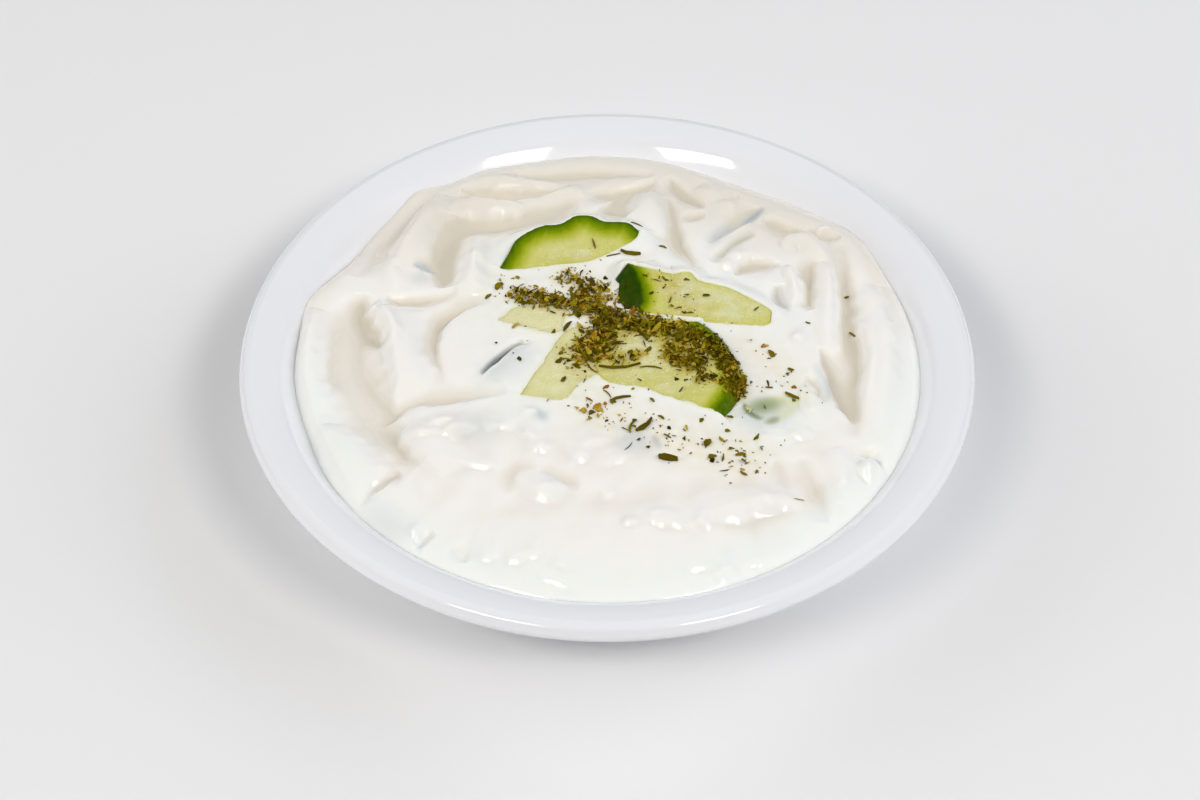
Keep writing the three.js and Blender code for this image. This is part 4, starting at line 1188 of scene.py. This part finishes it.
def strewing_tree():
    """Strews a collection's shapes over a surface, as thickly as its "pinch" says."""
    group = bpy.data.node_groups.new("strewing", "GeometryNodeTree")
    for name, kind in STREWING_INPUTS.items():
        group.interface.new_socket(name, in_out="INPUT", socket_type="NodeSocket" + kind)
    group.interface.new_socket("Herbs", in_out="OUTPUT", socket_type="NodeSocketGeometry")
    tree = Tree(group)
    surface = tree.node("NodeGroupInput", output="Surface")
    given = {name: surface.beside(name) for name in STREWING_INPUTS}

    def draw(shift, low=0.0, high=1.0, kind="FLOAT"):
        """A random value, drawn anew for each shift of the seed."""
        low_input, high_input, drawn = RANDOM_SOCKETS[kind]
        return tree.node("FunctionNodeRandomValue", {"data_type": kind},
                         {low_input: low, high_input: high, "Seed": given["Seed"] + shift}, drawn)

    def turned(rotation, **angles):
        """A rotation after a further turn about its own axes."""
        turn = tree.node("ShaderNodeCombineXYZ", inputs=angles)
        return tree.node("FunctionNodeRotateRotation", {"rotation_space": "LOCAL"},
                         {"Rotation": rotation, "Rotate By": turn})

    pinch = tree.node("GeometryNodeInputNamedAttribute", {"data_type": "FLOAT"},
                      {"Name": "pinch"})
    points = tree.node("GeometryNodeDistributePointsOnFaces", {"distribute_method": "RANDOM"}, {
        "Mesh": surface, "Density": pinch * given["Thickness"] * PER_SQUARE_MM,
        "Seed": given["Seed"]}, "Points")
    up = tree.node("ShaderNodeVectorMath", {"operation": "SCALE"}, {
        "Vector": points.beside("Normal"), "Scale": draw(1) * pinch * given["Pile"]})
    raised = tree.node("GeometryNodeSetPosition", inputs={"Geometry": points, "Offset": up})
    tinted = tree.node("GeometryNodeStoreNamedAttribute", {
        "data_type": "FLOAT", "domain": "POINT"}, {
        "Geometry": raised, "Name": "tint", "Value": draw(2)})
    leaning = {axis: draw(shift, low=-1.0) * given["Tilt"] for axis, shift in (("X", 3), ("Y", 4))}
    spun = turned(points.beside("Rotation"), Z=draw(5, high=2 * math.pi))
    shapes = tree.node("GeometryNodeCollectionInfo", {"transform_space": "ORIGINAL"}, {
        "Collection": given["Shapes"], "Separate Children": True, "Reset Children": True})
    strewn = tree.node("GeometryNodeInstanceOnPoints", inputs={
        "Points": tinted, "Instance": shapes, "Pick Instance": True,
        "Instance Index": draw(7, 0, 1000, "INT"), "Rotation": turned(spun, **leaning),
        "Scale": draw(6, given["Smallest"], given["Largest"], "FLOAT_VECTOR")})
    real = tree.node("GeometryNodeRealizeInstances", inputs={"Geometry": strewn})
    dressed = tree.node("GeometryNodeSetMaterial", inputs={
        "Geometry": real, "Material": given["Finish"]})
    tree.plug(dressed, group.nodes.new("NodeGroupOutput").inputs["Herbs"])
    return group


# For each kind of herb the sizes of its shapes (length, width, thickness), and how they are
# strewn, with the pile in mm
HERB_KINDS = {
    "herb_leaves": {
        "shapes": [(1.3, 0.8, 0.16), (1.0, 0.75, 0.14), (1.6, 0.5, 0.18), (0.9, 0.8, 0.14),
                   (1.2, 0.6, 0.2), (1.8, 0.9, 0.16)],
        "Thickness": 1.4, "Smallest": (0.5, 0.5, 0.8), "Largest": (1.6, 1.6, 1.4),
        "Pile": 0.5, "Tilt": 0.9,
    },
    "herb_crumbs": {
        "shapes": [(0.45, 0.35, 0.16), (0.35, 0.3, 0.2), (0.6, 0.28, 0.14)],
        "Thickness": 2.3, "Smallest": (0.5, 0.5, 0.5), "Largest": (1.4, 1.4, 1.4),
        "Pile": 0.45, "Tilt": 1.2,
    },
    "herb_twigs": {
        "shapes": [(2.4, 0.3, 0.28), (3.2, 0.32, 0.3), (2.0, 0.45, 0.36)],
        "Thickness": 0.12, "Smallest": (0.6, 0.7, 0.7), "Largest": (1.3, 1.2, 1.2),
        "Pile": 0.5, "Tilt": 0.35,
    },
}


def make_shapes(name, sizes, seed):
    """A collection of crumpled bits of these sizes, to strew."""
    random = np.random.default_rng(seed)
    shapes = bpy.data.collections.new(name + "_shapes")
    for index, size in enumerate(sizes):
        shape = make_mesh(f"{name}_{index}", *herb_bit(random, *size), smooth=False)
        bpy.context.collection.objects.unlink(shape)
        shapes.objects.link(shape)
    return shapes


def strew_herbs(finish):
    """One piece for each kind of herb, and one for the bits that lie singly."""
    bed, tree = make_bed(), strewing_tree()
    identifiers = {item.name: item.identifier for item in tree.interface.items_tree
                   if item.in_out == "INPUT"}
    pieces = []
    for order, (name, kind) in enumerate(HERB_KINDS.items()):
        settings = dict(kind, Pile=kind["Pile"] * MM, Seed=HERB_SEED + 10 * order, Finish=finish)
        shapes = make_shapes(name, settings.pop("shapes"), HERB_SEED + order)
        piece = bpy.data.objects.new(name, bed.data)
        bpy.context.collection.objects.link(piece)
        strewing = piece.modifiers.new("strewing", "NODES")
        strewing.node_group = tree
        strewing[identifiers["Shapes"]] = shapes
        for key, value in settings.items():
            strewing[identifiers[key]] = value
        settle(piece)
        for shape in list(shapes.objects):
            bpy.data.objects.remove(shape)
        bpy.data.collections.remove(shapes)
        pieces.append(piece)
    pieces.append(make_strays(vertex_points(bed), finish))
    bpy.data.objects.remove(bed)
    return pieces


STRAY_LIFT = 0.3             # how far a bit's middle lies above the ground, in its thicknesses
STRAY_LIGHTEST = 0.2         # the darkest tint that a stray has
STRAY_REACH = (-0.5, 0, 0.5)     # where along it the ground is felt, in lengths


def level_at(ground, x, y):
    """Height of the point of the ground that lies nearest."""
    return ground[np.argmin(np.hypot(ground[:, 0] - x, ground[:, 1] - y)), 2]


def make_strays(ground, finish):
    """The bits that lie singly, each tilted with the ground under its ends."""
    random = np.random.default_rng(HERB_SEED)
    points, faces, tints = [], [], []
    for x, y, length, width, thickness, degrees, tint in STRAYS:
        bit, sides = herb_bit(random, length, width, thickness)
        cos, sin = math.cos(degrees * DEGREE), math.sin(degrees * DEGREE)
        flat = bit[:, :2] @ np.array([[cos, sin], [-sin, cos]]) + (x, y)
        start, middle, end = (
            level_at(ground, x + reach * length * cos, y + reach * length * sin)
            for reach in STRAY_REACH)
        level = max(middle, (start + end) / 2) + thickness * STRAY_LIFT
        slope = (end - start) / length
        faces += [tuple(v + len(tints) for v in side) for side in sides]
        points.append(np.column_stack([flat, bit[:, 2] + level + slope * bit[:, 0]]))
        tints += [STRAY_LIGHTEST + (1 - STRAY_LIGHTEST) * tint] * len(bit)
    strays = make_mesh("herb_strays", np.vstack(points), faces, smooth=False)
    store(strays, "tint", tints)
    strays.data.materials.append(finish)
    return strays


# ------------------------------------------------------------------ table and light

TABLE_REACH = 3000
ROOM_LIGHT = 0.01
LIGHT_DISTANCE = 2000
WARM, NEUTRAL, COOL = (1.033, 1, 0.945), (1, 1, 1), (0.965, 1, 1.06)
# name, direction it comes from, size in mm, power in watts, tint, and whether gloss shows it
LIGHTS = [
    ("softbox_right", (0.38, -0.53, 0.758), (540, 350), 11.6, WARM, True),
    ("softbox_left", (-0.38, -0.53, 0.758), (640, 350), 11.0, WARM, True),
    ("wall_right", (0.819, 0, 0.574), (1700, 1700), 16.5, COOL, False),
    ("wall_high_right", (0.574, 0, 0.819), (1700, 1700), 4.5, COOL, False),
    ("wall_left", (-0.819, 0, 0.574), (1700, 1700), 13.0, NEUTRAL, False),
    ("wall_low_left", (-0.951, 0, 0.309), (1700, 1700), 6.0, NEUTRAL, False),
    ("wall_back", (0, 0.951, 0.309), (1700, 1700), 12.6, COOL, False),
    ("ceiling", (0, 0, 1), (1700, 1700), 0.6, NEUTRAL, False),
]


def make_floor():
    finish = Finish("table_top", Roughness=0.9, Base_Color=colour(233, 233, 234))
    corners = [(x * TABLE_REACH, y * TABLE_REACH, 0)
               for x, y in ((-1, -1), (1, -1), (1, 1), (-1, 1))]
    floor = make_mesh("table", corners, [(0, 1, 2, 3)])
    floor.data.materials.append(finish.material)


def make_light(name, direction, size, power, tint, in_gloss):
    lamp = bpy.data.lights.new(name, "AREA")
    lamp.shape, lamp.size, lamp.size_y = "RECTANGLE", size[0] * MM, size[1] * MM
    lamp.energy, lamp.color = power, tint
    light = bpy.data.objects.new(name, lamp)
    towards = Vector(direction).normalized()
    light.location = towards * LIGHT_DISTANCE * MM
    light.visible_glossy = in_gloss
    light.rotation_euler = (-towards).to_track_quat("-Z", "Y").to_euler()
    bpy.context.collection.objects.link(light)


def make_lighting():
    world = bpy.data.worlds.new("studio")
    world.use_nodes = True
    background = world.node_tree.nodes["Background"]
    background.inputs["Color"].default_value = (1, 1, 1, 1)
    background.inputs["Strength"].default_value = ROOM_LIGHT
    bpy.context.scene.world = world
    bpy.context.scene.view_settings.view_transform = "Standard"
    for light in LIGHTS:
        make_light(*light)


# ------------------------------------------------------------------ the whole

make_camera()
make_lighting()
make_floor()

dish = make_dish(glaze_finish())
yogurt = make_yogurt(yogurt_finish())
pieces = [(dish, ["dish"], "glaze"), (yogurt, ["dip"], "yogurt")]
cucumber = cucumber_finish()
for node in SLICES:
    pieces.append((make_slice(node, cucumber), [node], "cucumber"))
for piece in strew_herbs(herb_finish()):
    pieces.append((piece, [], "yogurt"))
for piece, nodes, slot in pieces:
    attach(piece, "root")
    if nodes:
        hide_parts(*nodes)
